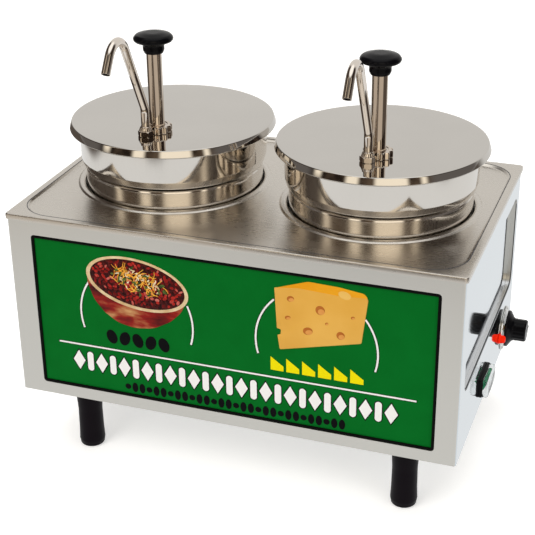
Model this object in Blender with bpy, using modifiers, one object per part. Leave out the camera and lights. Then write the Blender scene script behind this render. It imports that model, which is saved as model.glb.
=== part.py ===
"""Twin countertop topping warmer: two lift-out pots with portion pumps in a lit steel case.

Metres, +Z up. Heights below are measured from the table; the model frame then lowers the whole
so that the origin is the centre of the base panel's underside. -Y is the lit front, +X is the
side that carries the controls.
"""
import math

import bmesh
import bpy
from mathutils import Matrix, Vector

# ---- driving dimensions -------------------------------------------------------------------
MM = 0.001
WIDTH = 540 * MM             # deck, side to side
DEPTH = 336 * MM             # deck, front to back
LEG_H = 90 * MM              # table to the underside of the case
CASE_H = 231 * MM            # underside of the case to the deck
SHEET = 1.5 * MM             # sheet steel
GAP = 0.3 * MM               # clearance between pieces that touch
LIP = 4 * MM                 # turned-down edge of the deck
PAN = 3 * MM                 # depth of the sunken deck floor

DECK_Z = LEG_H + CASE_H
FLOOR_Z = DECK_Z - PAN
CASE_X = WIDTH / 2 - SHEET - GAP
CASE_Y = DEPTH / 2 - SHEET - GAP

POT_X = 130 * MM             # pot centres, left and right of the middle
POT_Y = 6 * MM
POT_R = 107.5 * MM           # lower body of a pot
BAND_R = 112.5 * MM          # polished band above the shoulder
RIM_R = 118 * MM
POT_SHEET = 1.2 * MM
LID_R = 124 * MM
LID_Z = DECK_Z + 77.4 * MM   # top face of a lid
WELL_R = 109.2 * MM          # bore of a well, and of the bead over it
WELL_DEPTH = 158 * MM
BEAD_R = 116.5 * MM

PUMP_DX = {"left": 4 * MM, "right": 9.5 * MM}     # pump axis from the pot's centre
PUMP_DY = -55 * MM
TUBE_R = 8.75 * MM           # plunger tube
CYL_R = 11 * MM              # pump cylinder, outside
BORE_R = 9.3 * MM
SPOUT_R = 5 * MM
SPOUT_OFF = Vector((-6.2 * MM, -19 * MM, 0))
SPOUT_SWING = math.radians(2)
SPOUT_LEAN = math.radians(29.2)
SPOUT_RISE = 92 * MM         # straight run between the bend and the gooseneck
NECK_R = 24.3 * MM
NECK_END = math.radians(144)
SPOUT_TAIL = 20 * MM
KNOB_Z = DECK_Z + 171.3 * MM  # underside of a pump knob
KNOB_SOCKET = 10 * MM
SEAT_Z = 182 * MM            # seat of the inlet ball
PORT_Z = 187.5 * MM          # cross port from the cylinder to the spout
SOCKET_Z = 194 * MM
PORT_R = 3.2 * MM
SPRING_Z0 = 193 * MM
SPRING_LEN = 105 * MM
PISTON_TOP = SPRING_Z0 + SPRING_LEN + 10 * MM + GAP
BALL_R = 4.5 * MM

SIGN_W = 481.4 * MM
SIGN_H = 194 * MM
SIGN_X = 2 * MM
SIGN_Z = DECK_Z - 118.8 * MM
TRIM = 3.2 * MM

RECESS_D = 6 * MM
RECESS_Y = (-142 * MM, 150 * MM)
RECESS_Z = (DECK_Z - 154 * MM, DECK_Z - 32 * MM)
RECESS_R = 16 * MM           # corner radius of the pressed-in field

CONTROL_Z = 119.5 * MM
DIAL_Y = 117 * MM
DIAL_R = 28.3 * MM
PILOT_Y = 82.5 * MM
PILOT_Z = CONTROL_Z + 1.8 * MM
SWITCH_Y = -19.5 * MM
SWITCH_W = 48 * MM           # flange of the switch, front to back
SWITCH_H = 24 * MM
SWITCH_STEP = 3 * MM         # flange past the body behind it

LEG_X = 202 * MM
LEG_Y = 124 * MM
CORNERS = ((-1, -1), (1, -1), (-1, 1), (1, 1))
CORD_X = 215 * MM
CORD_Z = 118 * MM
CORD_R = 3.5 * MM

SIDES = (("left", -POT_X), ("right", POT_X))

# ---- materials: colour, roughness, metallic, transmission --------------------------------
FINISH = {
    "satin_steel": ((0.62, 0.60, 0.57), 0.32, 1.0, 0.0),
    "mirror_steel": ((0.72, 0.73, 0.75), 0.07, 1.0, 0.0),
    "pot_steel": ((0.66, 0.62, 0.57), 0.12, 1.0, 0.0),
    "pump_steel": ((0.70, 0.65, 0.59), 0.10, 1.0, 0.0),
    "inner_steel": ((0.45, 0.45, 0.44), 0.45, 1.0, 0.0),
    "black_gloss": ((0.010, 0.010, 0.012), 0.22, 0.0, 0.0),
    "black_plastic": ((0.018, 0.018, 0.020), 0.50, 0.0, 0.0),
    "rubber": ((0.020, 0.020, 0.020), 0.75, 0.0, 0.0),
    "sign_green": ((0.004, 0.18, 0.012), 0.35, 0.0, 0.0),
    "white_plastic": ((0.80, 0.80, 0.76), 0.45, 0.0, 0.0),
    "lamp_glass": ((0.92, 0.94, 0.92), 0.20, 0.0, 0.3),
    "dial_silver": ((0.70, 0.69, 0.66), 0.30, 1.0, 0.0),
    "lens_red": ((0.75, 0.02, 0.01), 0.15, 0.0, 0.4),
    "lens_green": ((0.01, 0.30, 0.12), 0.20, 0.0, 0.3),
    "clear_plastic": ((0.85, 0.88, 0.88), 0.15, 0.0, 0.9),
    "copper": ((0.72, 0.36, 0.20), 0.30, 1.0, 0.0),
    "brass": ((0.72, 0.55, 0.25), 0.30, 1.0, 0.0),
}


def in_mm(points):
    return [(first * MM, second * MM) for first, second in points]


def clear_scene():
    for obj in list(bpy.data.objects):
        bpy.data.objects.remove(obj, do_unlink=True)


def collection(name):
    group = bpy.data.collections.new(name)
    bpy.context.scene.collection.children.link(group)
    return group


def enter(obj, slot):
    """Put an object in the model frame: a piece with a finish, or a cutter without one."""
    obj.parent = MODEL_FRAME
    if slot is None:
        CUTTERS.objects.link(obj)
        obj.hide_render = True
        obj.display_type = "WIRE"
    else:
        PARTS.objects.link(obj)
        finish(obj, slot)


def finish(obj, slot):
    """Give a piece its own Principled material."""
    colour, rough, metal, glassy = FINISH[slot]
    mat = bpy.data.materials.new(f"{obj.name}_{slot}")
    mat.use_nodes = True
    shader = mat.node_tree.nodes["Principled BSDF"]
    shader.inputs["Base Color"].default_value = (*colour, 1.0)
    shader.inputs["Roughness"].default_value = rough
    shader.inputs["Metallic"].default_value = metal
    shader.inputs["Transmission Weight"].default_value = glassy
    mat.diffuse_color = (*colour, 1.0)
    obj.data.materials.append(mat)


def place(name, bm, slot, at=(0, 0, 0), turn=(0, 0, 0)):
    """Turn a bmesh into a piece, or into a cutter when it has no finish."""
    mesh = bpy.data.meshes.new(name)
    bmesh.ops.recalc_face_normals(bm, faces=bm.faces)
    bm.to_mesh(mesh)
    bm.free()
    obj = bpy.data.objects.new(name, mesh)
    obj.location = at
    obj.rotation_euler = turn
    enter(obj, slot)
    mesh.shade_smooth()
    mesh.set_sharp_from_angle(angle=math.radians(35))
    return obj


def boolean(obj, tool, operation="DIFFERENCE"):
    mod = obj.modifiers.new(f"{operation.lower()}_{tool.name}", "BOOLEAN")
    mod.operation = operation
    mod.solver = "EXACT"
    mod.object = tool
    return obj


def box_mesh(low, high):
    bm = bmesh.new()
    bmesh.ops.create_cube(bm, size=1.0)
    size = Vector(high) - Vector(low)
    bmesh.ops.scale(bm, vec=size, verts=bm.verts)
    bmesh.ops.translate(bm, vec=Vector(low) + size / 2, verts=bm.verts)
    return bm


def box(name, low, high, slot):
    return place(name, box_mesh(low, high), slot)


def rod_mesh(radius, z0, z1, segments=24, radius_top=None):
    bm = bmesh.new()
    top = radius if radius_top is None else radius_top
    bmesh.ops.create_cone(bm, cap_ends=True, segments=segments, radius1=radius,
                          radius2=top, depth=z1 - z0)
    bmesh.ops.translate(bm, vec=(0, 0, (z0 + z1) / 2), verts=bm.verts)
    return bm


def rod(name, radius, z0, z1, slot, at=(0, 0, 0), turn=(0, 0, 0), segments=24):
    return place(name, rod_mesh(radius, z0, z1, segments), slot, at, turn)


def rounded_outline(half_x, half_y, radius, steps=6):
    """Points of a rounded rectangle, anticlockwise."""
    points = []
    corners = ((1, 1, 0), (-1, 1, 90), (-1, -1, 180), (1, -1, 270))
    for sx, sy, start in corners:
        centre = Vector((sx * (half_x - radius), sy * (half_y - radius)))
        for i in range(steps + 1):
            a = math.radians(start + 90 * i / steps)
            points.append(centre + radius * Vector((math.cos(a), math.sin(a))))
    return points


def prism_mesh(outline, z0, z1):
    bm = bmesh.new()
    face = bm.faces.new([bm.verts.new((p[0], p[1], z0)) for p in outline])
    grown = bmesh.ops.extrude_face_region(bm, geom=[face])
    moved = [g for g in grown["geom"] if isinstance(g, bmesh.types.BMVert)]
    bmesh.ops.translate(bm, vec=(0, 0, z1 - z0), verts=moved)
    return bm


def prism(name, outline, z0, z1, slot, at=(0, 0, 0), turn=(0, 0, 0)):
    return place(name, prism_mesh(outline, z0, z1), slot, at, turn)


def arc(centre, radius, start, end, steps):
    """Points of an arc in the profile plane, angles in degrees."""
    return [(centre[0] + radius * math.cos(math.radians(start + (end - start) * i / steps)),
             centre[1] + radius * math.sin(math.radians(start + (end - start) * i / steps)))
            for i in range(steps + 1)]


def turned(name, profile, slot, at=(0, 0, 0), turn=(0, 0, 0), steps=32, ring=False):
    """Spin a profile of (radius, height) points about Z. It runs down its outer side."""
    mesh = bpy.data.meshes.new(name)
    edges = [(i, i + 1) for i in range(len(profile) - 1)]
    if ring:
        edges.append((len(profile) - 1, 0))
    mesh.from_pydata([(r, 0, z) for r, z in profile], edges, [])
    obj = bpy.data.objects.new(name, mesh)
    obj.location = at
    obj.rotation_euler = turn
    screw = obj.modifiers.new("spin", "SCREW")
    screw.steps = screw.render_steps = steps
    screw.use_merge_vertices = True
    screw.merge_threshold = 0.00002
    screw.use_smooth_shade = True
    enter(obj, slot)
    return obj


def wire(name, points, radius, slot, at=(0, 0, 0), resolution=2):
    """A solid wire along a polyline."""
    curve = bpy.data.curves.new(name, "CURVE")
    curve.dimensions = "3D"
    curve.bevel_depth = radius
    curve.bevel_resolution = resolution
    curve.use_fill_caps = True
    spline = curve.splines.new("POLY")
    spline.points.add(len(points) - 1)
    for knot, p in zip(spline.points, points):
        knot.co = (*p, 1)
    obj = bpy.data.objects.new(name, curve)
    obj.location = at
    enter(obj, slot)
    return obj


def hollow_tube(name, points, radius, wall, slot, at=(0, 0, 0)):
    """A tube with a real bore: the open skin of a bevelled curve, thickened inwards."""
    obj = wire(name, points, radius, slot, at, resolution=2)
    obj.data.use_fill_caps = False
    mesh = bpy.data.meshes.new_from_object(obj.evaluated_get(bpy.context.evaluated_depsgraph_get()))
    curve = obj.data
    bpy.data.objects.remove(obj, do_unlink=True)
    bpy.data.curves.remove(curve)
    tube = bpy.data.objects.new(name, mesh)
    tube.location = at
    mesh.materials.clear()
    enter(tube, slot)
    bm = bmesh.new()
    bm.from_mesh(mesh)
    bmesh.ops.remove_doubles(bm, verts=bm.verts, dist=0.00001)
    bmesh.ops.recalc_face_normals(bm, faces=bm.faces)
    bm.to_mesh(mesh)
    bm.free()
    mesh.shade_smooth()
    skin = tube.modifiers.new("wall", "SOLIDIFY")
    skin.thickness = wall
    skin.offset = -1
    return tube


# ---- case ---------------------------------------------------------------------------------
def recess_tool(name, side, grow):
    """The pressed-in field of one side, grown for the inner face of the sheet."""
    low, high = sorted((side * (CASE_X - RECESS_D - grow), side * (CASE_X + 5 * MM)))
    half_z = (RECESS_Z[1] - RECESS_Z[0]) / 2 + grow
    half_y = (RECESS_Y[1] - RECESS_Y[0]) / 2 + grow
    at = (0, sum(RECESS_Y) / 2, sum(RECESS_Z) / 2)
    return prism(name, rounded_outline(half_z, half_y, RECESS_R + grow, 5), low, high, None, at,
                 (0, math.pi / 2, 0))


def make_casing():
    top = DECK_Z - SHEET - GAP
    casing = prism("casing", rounded_outline(CASE_X, CASE_Y, 3 * MM, 3), LEG_H, top, "satin_steel")
    hollow = prism("cut_case_hollow",
                   rounded_outline(CASE_X - SHEET, CASE_Y - SHEET, 1.5 * MM, 3),
                   LEG_H - 10 * MM, top + 10 * MM, None)
    for side, tag in ((-1, "left"), (1, "right")):
        boolean(casing, recess_tool(f"cut_recess_{tag}", side, 0))
        boolean(hollow, recess_tool(f"cut_recess_inner_{tag}", side, SHEET))
    boolean(casing, hollow)
    window = prism("cut_window", rounded_outline(SIGN_W / 2 + GAP, SIGN_H / 2 + GAP, 4 * MM, 3),
                   -8 * MM, 8 * MM, None, (SIGN_X, -CASE_Y, SIGN_Z), (math.pi / 2, 0, 0))
    boolean(casing, window)
    boolean(casing, box("cut_back_opening", (-190 * MM, CASE_Y - 6 * MM, LEG_H + 20 * MM),
                        (190 * MM, CASE_Y + 6 * MM, DECK_Z - 30 * MM), None))
    side_turn = (0, math.pi / 2, 0)
    for tag, radius, y, z in (("shaft", 4.5 * MM, DIAL_Y, CONTROL_Z), ("pilot", 5.3 * MM, PILOT_Y, PILOT_Z)):
        boolean(casing, rod(f"cut_{tag}_hole", radius, -6 * MM, 6 * MM, None, (CASE_X, y, z), side_turn))
    half_w = SWITCH_W / 2 - SWITCH_STEP + 0.5 * MM
    half_h = SWITCH_H / 2 - SWITCH_STEP + 0.5 * MM
    boolean(casing, box("cut_switch_hole",
                        (CASE_X - 6 * MM, SWITCH_Y - half_w, CONTROL_Z - half_h),
                        (CASE_X + 6 * MM, SWITCH_Y + half_w, CONTROL_Z + half_h), None))
    boolean(casing, rod("cut_cord_hole", 8.3 * MM, -6 * MM, 6 * MM, None,
                        (CORD_X, CASE_Y, CORD_Z), (math.pi / 2, 0, 0)))


def loft_mesh(rings):
    """Skin between rings of equal length, with the last ring closed."""
    bm = bmesh.new()
    loops = [[bm.verts.new(p) for p in ring] for ring in rings]
    count = len(loops[0])
    for low, high in zip(loops, loops[1:]):
        for i in range(count):
            j = (i + 1) % count
            bm.faces.new((low[i], low[j], high[j], high[i]))
    bm.faces.new(loops[-1])
    return bm


def make_deck():
    """Deck sheet: turned-down lip, flat border, sunken floor, two beaded openings."""
    border = 8 * MM
    steps = ((0, -LIP, 4), (0, -1.2 * MM, 4), (1.2 * MM, 0, 4), (border, 0, 42),
             (border + 2 * MM, -0.8 * MM, 41), (border + 5 * MM, -PAN, 40))
    rings = []
    for inset, drop, corner in steps:
        outline = rounded_outline(WIDTH / 2 - inset, DEPTH / 2 - inset, corner * MM, 5)
        rings.append([(p[0], p[1], DECK_Z + drop) for p in outline])
    deck = place("deck_plate", loft_mesh(rings), "satin_steel")
    skin = deck.modifiers.new("sheet", "SOLIDIFY")
    skin.thickness = SHEET
    skin.offset = -1
    skin.use_even_offset = True
    hole_r = WELL_R + GAP
    base = FLOOR_Z - SHEET
    bead = [(hole_r, base), (hole_r, FLOOR_Z + 2.2 * MM)]
    bead += arc((hole_r + 2.8 * MM, FLOOR_Z + 2 * MM), 2.8 * MM, 140, 40, 2)
    bead += [(BEAD_R, FLOOR_Z + 0.4 * MM), (BEAD_R + 0.4 * MM, base)]
    for tag, x in SIDES:
        at = (x, POT_Y, 0)
        boolean(deck, rod(f"cut_deck_{tag}", hole_r + 2 * MM, FLOOR_Z - 8 * MM, FLOOR_Z + 8 * MM,
                          None, at, segments=32))
        boolean(deck, turned(f"add_bead_{tag}", bead, None, at, steps=32, ring=True), "UNION")


def make_base():
    inner_x = CASE_X - SHEET - GAP
    inner_y = CASE_Y - SHEET - GAP
    z0 = LEG_H + GAP
    base = prism("base_panel", rounded_outline(inner_x, inner_y, 2 * MM, 3), z0, z0 + SHEET, "inner_steel")
    for i, (sx, sy) in enumerate(CORNERS):
        boolean(base, rod(f"cut_base_bolt_{i}", 4.4 * MM, z0 - 3 * MM, z0 + 5 * MM, None,
                          (sx * LEG_X, sy * LEG_Y, 0), segments=16))
    for i in range(4):
        x = (i - 1.5) * 80 * MM
        boolean(base, box(f"cut_base_vent_{i}", (x - 3 * MM, -40 * MM, z0 - 3 * MM),
                          (x + 3 * MM, 40 * MM, z0 + 5 * MM), None))


def make_back_panel():
    y0 = CASE_Y + GAP
    panel = box("back_panel", (-200 * MM, y0, LEG_H + 12 * MM), (200 * MM, y0 + SHEET, DECK_Z - 20 * MM),
                "satin_steel")
    for row in range(3):
        z = DECK_Z - 60 * MM - row * 16 * MM
        for side in (-1, 1):
            x = side * 95 * MM
            boolean(panel, box(f"cut_vent_{row}_{side}", (x - 60 * MM, y0 - 4 * MM, z - 2 * MM),
                               (x + 60 * MM, y0 + 4 * MM, z + 2 * MM), None))
    boolean(panel, rod("cut_panel_cord", 11 * MM, -6 * MM, 6 * MM, None,
                       (CORD_X, CASE_Y, CORD_Z), (math.pi / 2, 0, 0)))


def make_sign():
    turn = (math.pi / 2, 0, 0)
    trim = prism("sign_trim", rounded_outline(SIGN_W / 2, SIGN_H / 2, 4 * MM, 3),
                 -SHEET, 0, "rubber", (SIGN_X, -CASE_Y, SIGN_Z), turn)
    boolean(trim, prism("cut_trim", rounded_outline(SIGN_W / 2 - TRIM, SIGN_H / 2 - TRIM, 1.5 * MM, 3),
                        -6 * MM, 6 * MM, None, (SIGN_X, -CASE_Y, SIGN_Z), turn))
    y0 = -CASE_Y + SHEET + GAP
    half_x = SIGN_W / 2 + 5 * MM
    half_z = SIGN_H / 2 + 5 * MM
    thick = 2.5 * MM
    box("sign_panel", (SIGN_X - half_x, y0, SIGN_Z - half_z), (SIGN_X + half_x, y0 + thick, SIGN_Z + half_z),
        "sign_green")
    y1 = y0 + thick + GAP
    for tag, side in (("left", -1), ("right", 1)):
        outer = SIGN_X + side * (half_x + 8 * MM)
        inner = SIGN_X + side * (half_x - 6 * MM)
        step = SIGN_X + side * (half_x + GAP)
        low, high = sorted((inner, outer))
        bracket = box(f"sign_bracket_{tag}", (low, y1, SIGN_Z - half_z), (high, y1 + SHEET, SIGN_Z + half_z),
                      "inner_steel")
        low, high = sorted((step, outer))
        leg = box(f"add_bracket_{tag}", (low, y0, SIGN_Z - half_z),
                  (high, y1 + 0.2 * MM, SIGN_Z + half_z), None)
        boolean(bracket, leg, "UNION")


def make_lamp():
    """Lamp behind the sign: tube, two end holders, a bent reflector tray and its ballast."""
    half = 205 * MM
    y = -CASE_Y + 30 * MM
    rod("lamp_tube", 8 * MM, -half, half, "lamp_glass", (0, y, SIGN_Z), (0, math.pi / 2, 0), 20)
    for tag, side in (("left", -1), ("right", 1)):
        x0, x1 = sorted((side * (half + GAP - 6 * MM), side * (half + 14 * MM)))
        holder = box(f"lamp_holder_{tag}", (x0, y - 12 * MM, SIGN_Z - 14 * MM),
                     (x1, y + 14 * MM, SIGN_Z + 12 * MM), "white_plastic")
        boolean(holder, rod(f"cut_holder_{tag}", 8.4 * MM, -half - 0.3 * MM, half + 0.3 * MM, None,
                            (0, y, SIGN_Z), (0, math.pi / 2, 0), 20))
    back = y + 14 * MM + GAP
    tray = in_mm(((70, 0), (70, -14), (68.5, -14), (68.5, -1.5), (-68.5, -1.5), (-68.5, -14), (-70, -14),
                  (-70, 0)))
    prism("lamp_reflector", tray, -222 * MM, 222 * MM, "white_plastic",
          (0, back + SHEET, SIGN_Z), (0, math.pi / 2, 0))
    box("ballast", (-60 * MM, -CASE_Y + 12 * MM, LEG_H + 2.2 * MM),
        (60 * MM, -CASE_Y + 44 * MM, LEG_H + 14 * MM), "black_plastic")


def make_wells():
    """Two pressed water wells hung under the deck, each with a ring heater below."""
    top = FLOOR_Z - SHEET - GAP
    floor = DECK_Z - WELL_DEPTH
    wall = POT_SHEET
    for tag, x in SIDES:
        inner = [(0, floor)] + arc((WELL_R - 10 * MM, floor + 10 * MM), 10 * MM, 270, 360, 2)
        outer = arc((WELL_R - 10 * MM, floor + 10 * MM), 10 * MM + wall, 360, 270, 2) + [(0, floor - wall)]
        lip_r = WELL_R + 7 * MM
        lip = [(WELL_R, top), (lip_r, top), (lip_r, top - wall), (WELL_R + wall, top - wall)]
        turned(f"well_{tag}", inner + lip + outer, "inner_steel", (x, POT_Y, 0), steps=24)
        ring = arc((70 * MM, floor - wall - GAP - 4.2 * MM), 4 * MM, 360, 0, 6)[:-1]
        turned(f"heater_{tag}", ring, "inner_steel", (x, POT_Y, 0), steps=20, ring=True)


# ---- pots, lids, pumps --------------------------------------------------------------------
def make_pot(tag, x):
    """Turned pot: rounded foot, straight body, rounded shoulder, polished band, flared rim."""
    t = POT_SHEET
    z0 = DECK_Z - WELL_DEPTH + GAP
    shoulder = DECK_Z + 25 * MM
    band = DECK_Z + 33.5 * MM
    rim = LID_Z - POT_SHEET - GAP
    foot = 12 * MM
    step = BAND_R - POT_R
    inner = [(0, z0 + t)] + arc((POT_R - foot, z0 + foot), foot - t, 270, 360, 2)
    inner += [(POT_R - t, shoulder), (BAND_R - t, band), (BAND_R - t, rim - 9 * MM), (RIM_R - 3 * MM, rim)]
    outer = [(RIM_R, rim - 1 * MM), (BAND_R + 0.4 * MM, rim - 10 * MM), (BAND_R, band),
             (POT_R + step * 0.4, shoulder + 4.4 * MM), (POT_R, shoulder)]
    outer += arc((POT_R - foot, z0 + foot), foot, 360, 270, 2) + [(0, z0)]
    turned(f"pot_{tag}", inner + outer, "pot_steel", (x, POT_Y, 0), steps=30)


def pump_axis(tag, x):
    return Vector((x + PUMP_DX[tag], POT_Y + PUMP_DY, 0))


def make_lid(tag, x):
    """Flat lid with a rolled edge, open where the pump and its spout pass."""
    t = POT_SHEET
    roll = 5 * MM
    edge = (LID_R - roll, LID_Z - roll)
    profile = [(0, LID_Z)] + arc(edge, roll, 90, 0, 2)
    profile += [(LID_R - 0.3 * MM, LID_Z - 9 * MM), (LID_R - 0.3 * MM - t, LID_Z - 9 * MM)]
    profile += arc(edge, roll - t, 0, 90, 1) + [(0, LID_Z - t)]
    lid = turned(f"lid_{tag}", profile, "satin_steel", (x, POT_Y, 0), steps=30)
    axis = pump_axis(tag, x)
    boolean(lid, rod(f"cut_lid_pump_{tag}", CYL_R + 0.5 * MM, LID_Z - 5 * MM, LID_Z + 5 * MM, None, axis))
    boolean(lid, rod(f"cut_lid_spout_{tag}", SPOUT_R + 0.6 * MM, LID_Z - 5 * MM, LID_Z + 5 * MM, None,
                     axis + SPOUT_OFF))


def make_cylinder(tag, x):
    """Pump cylinder: stepped bore with a ball seat, a foot block for the spout, a hanger plate."""
    top = LID_Z + 4 * MM
    foot = 170 * MM
    chamber = 6 * MM
    profile = [(PORT_R, foot), (PORT_R, SEAT_Z), (chamber, SEAT_Z), (chamber, SPRING_Z0 - GAP),
               (BORE_R, SPRING_Z0 - GAP), (BORE_R, top), (CYL_R, top), (CYL_R, foot + 8 * MM), (8 * MM, foot)]
    axis = pump_axis(tag, x)
    body = turned(f"pump_cylinder_{tag}", profile, "inner_steel", axis, steps=16, ring=True)
    plate_top = LID_Z - POT_SHEET - GAP
    wall = BORE_R + 0.8 * MM
    plate_low = plate_top - 3 * MM
    plate = [(wall, plate_top), (16 * MM, plate_top), (16 * MM, plate_low), (wall, plate_low)]
    boolean(body, turned(f"add_hanger_{tag}", plate, None, axis, steps=16, ring=True), "UNION")
    boolean(body, rod(f"cut_hanger_{tag}", SPOUT_R + 0.4 * MM, plate_top - 8 * MM, plate_top + 4 * MM, None,
                      axis + SPOUT_OFF, segments=16))
    boolean(body, foot_block(tag, axis), "UNION")
    socket = axis + SPOUT_OFF
    boolean(body, rod(f"cut_socket_{tag}", SPOUT_R + GAP, SOCKET_Z, SOCKET_Z + 30 * MM, None, socket,
                      segments=12))
    boolean(body, rod(f"cut_riser_{tag}", 3 * MM, PORT_Z, SOCKET_Z + 5 * MM, None, socket, segments=10))
    boolean(body, rod(f"cut_port_{tag}", 2.8 * MM, 0, SPOUT_OFF.length, None,
                      (axis.x, axis.y, PORT_Z), (0, math.pi / 2, spout_heading()), 10))


def spout_heading():
    return math.atan2(SPOUT_OFF.y, SPOUT_OFF.x)


def foot_block(tag, axis):
    """Bridge between the cylinder's foot and the spout's socket, as a cutter to be joined."""
    reach = SPOUT_OFF.length
    half = 7.6 * MM
    outline = [(BORE_R + 0.6 * MM, -half), (reach, -half)]
    outline += arc((reach, 0), half, -90, 90, 6)[1:-1]
    outline += [(reach, half), (BORE_R + 0.6 * MM, half)]
    return prism(f"add_foot_{tag}", outline, 181 * MM, 204 * MM, None, axis, (0, 0, spout_heading()))


def spout_path():
    """Centre line of the discharge tube, from the axis of its foot, at table height.

    It stands in the foot block's socket, passes the lid beside the cylinder, leans forward and
    ends in a gooseneck that points down in front of the pot.
    """
    points = [Vector((0, 0, SOCKET_Z + GAP))]
    foot = Vector((0, 0, DECK_Z + 104 * MM))
    bend = 16 * MM
    for i in range(4):
        a = SPOUT_LEAN * i / 3
        points.append(foot + Vector((0, -bend * (1 - math.cos(a)), bend * math.sin(a))))
    ahead = Vector((0, -math.sin(SPOUT_LEAN), math.cos(SPOUT_LEAN)))
    start = points[-1] + ahead * SPOUT_RISE
    centre = start + NECK_R * Vector((0, -math.cos(SPOUT_LEAN), -math.sin(SPOUT_LEAN)))
    for i in range(7):
        a = SPOUT_LEAN + (NECK_END - SPOUT_LEAN) * i / 6
        points.append(centre + NECK_R * Vector((0, math.cos(a), math.sin(a))))
    points.append(points[-1] + SPOUT_TAIL * Vector((0, -math.sin(NECK_END), math.cos(NECK_END))))
    turn = Matrix.Rotation(SPOUT_SWING, 3, "Z")
    return [turn @ p for p in points]


def make_collar(tag, x):
    """Scalloped lock collar round the cylinder's head, cleared for the spout's nut."""
    z0 = LID_Z + GAP
    z1 = LID_Z + 8.5 * MM
    lip = LID_Z + 4.5 * MM
    axis = pump_axis(tag, x)
    lobes = 12
    outline = []
    for i in range(lobes * 3):
        a = 2 * math.pi * i / (lobes * 3)
        radius = 16.2 * MM + 1.1 * MM * math.cos(lobes * a)
        outline.append((radius * math.cos(a), radius * math.sin(a)))
    collar = prism(f"lock_collar_{tag}", outline, z0, z1, "pump_steel", axis)
    boolean(collar, rod(f"cut_collar_low_{tag}", CYL_R + GAP, z0 - 4 * MM, lip, None, axis))
    boolean(collar, rod(f"cut_collar_bore_{tag}", TUBE_R + GAP, z0 - 4 * MM, z1 + 4 * MM, None, axis))
    boolean(collar, rod(f"cut_collar_nut_{tag}", 10.1 * MM, z0 - 4 * MM, z1 + 4 * MM, None,
                        axis + SPOUT_OFF, segments=20))


def make_nut(tag, x):
    """Hex coupling nut with a coned top where the spout passes the lid."""
    z0 = LID_Z + GAP
    across = 16.4 * MM
    at = pump_axis(tag, x) + SPOUT_OFF
    nut = rod(f"spout_nut_{tag}", across / 2 / math.cos(math.pi / 6), z0, z0 + 6.2 * MM, "pump_steel", at,
              (0, 0, spout_heading()), 6)
    shoulder = rod_mesh(7.8 * MM, z0 + 5.7 * MM, z0 + 11.5 * MM, 20, 6.2 * MM)
    cone = place(f"add_nut_cone_{tag}", shoulder, None, at)
    boolean(nut, cone, "UNION")
    boolean(nut, rod(f"cut_nut_{tag}", SPOUT_R + GAP, z0 - 4 * MM, z0 + 18 * MM, None, at, segments=20))


def make_plunger(tag, x):
    """Everything that a hand pushes down: knob, tube and piston, with the return spring."""
    axis = pump_axis(tag, x)
    tube_low = PISTON_TOP + GAP
    tube_top = KNOB_Z + KNOB_SOCKET
    bore = TUBE_R - 1.5 * MM
    wall = [(bore, tube_low), (bore, tube_top), (TUBE_R, tube_top), (TUBE_R, tube_low)]
    turned(f"plunger_tube_{tag}", wall, "pump_steel", axis, steps=20, ring=True)
    hole = TUBE_R + GAP
    z = KNOB_Z
    outer = ((0, 24), (13, 23.3), (20, 21.2), (23, 17.4), (21.6, 14.6), (13.8, 11.6), (12.4, 9),
             (12.2, 3.6), (10.4, 0))
    profile = [(r, z + h) for r, h in in_mm(outer)]
    profile += [(hole, z), (hole, tube_top + GAP), (0, tube_top + GAP)]
    turned(f"pump_knob_{tag}", profile, "black_gloss", axis, steps=20)
    top = PISTON_TOP
    groove = BORE_R - 1.3 * MM
    skirt = BORE_R - GAP
    piston = [(0, top), (skirt, top), (skirt, top - 3 * MM), (groove, top - 3.6 * MM), (groove, top - 6 * MM),
              (skirt, top - 6.6 * MM), (skirt, top - 9.7 * MM), (0, top - 9.7 * MM)]
    turned(f"piston_{tag}", piston, "white_plastic", axis, steps=20)
    make_spring(f"return_spring_{tag}", axis)


def make_spring(name, axis):
    coils = 4
    around = 8
    radius = 7.2 * MM
    gauge = 0.9 * MM
    low = SPRING_Z0 + gauge + GAP
    high = SPRING_Z0 + SPRING_LEN - gauge - GAP
    count = coils * around
    points = []
    for i in range(count + 1):
        a = 2 * math.pi * i / around
        points.append((radius * math.cos(a), radius * math.sin(a), low + (high - low) * i / count))
    wire(name, points, gauge, "inner_steel", axis, resolution=1)


def make_ball(tag, x):
    """Inlet check ball, resting just above its seat."""
    lift = math.sqrt(BALL_R ** 2 - PORT_R ** 2) + GAP
    bm = bmesh.new()
    bmesh.ops.create_uvsphere(bm, u_segments=10, v_segments=6, radius=BALL_R)
    place(f"inlet_ball_{tag}", bm, "inner_steel", pump_axis(tag, x) + Vector((0, 0, SEAT_Z + lift)))


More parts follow.
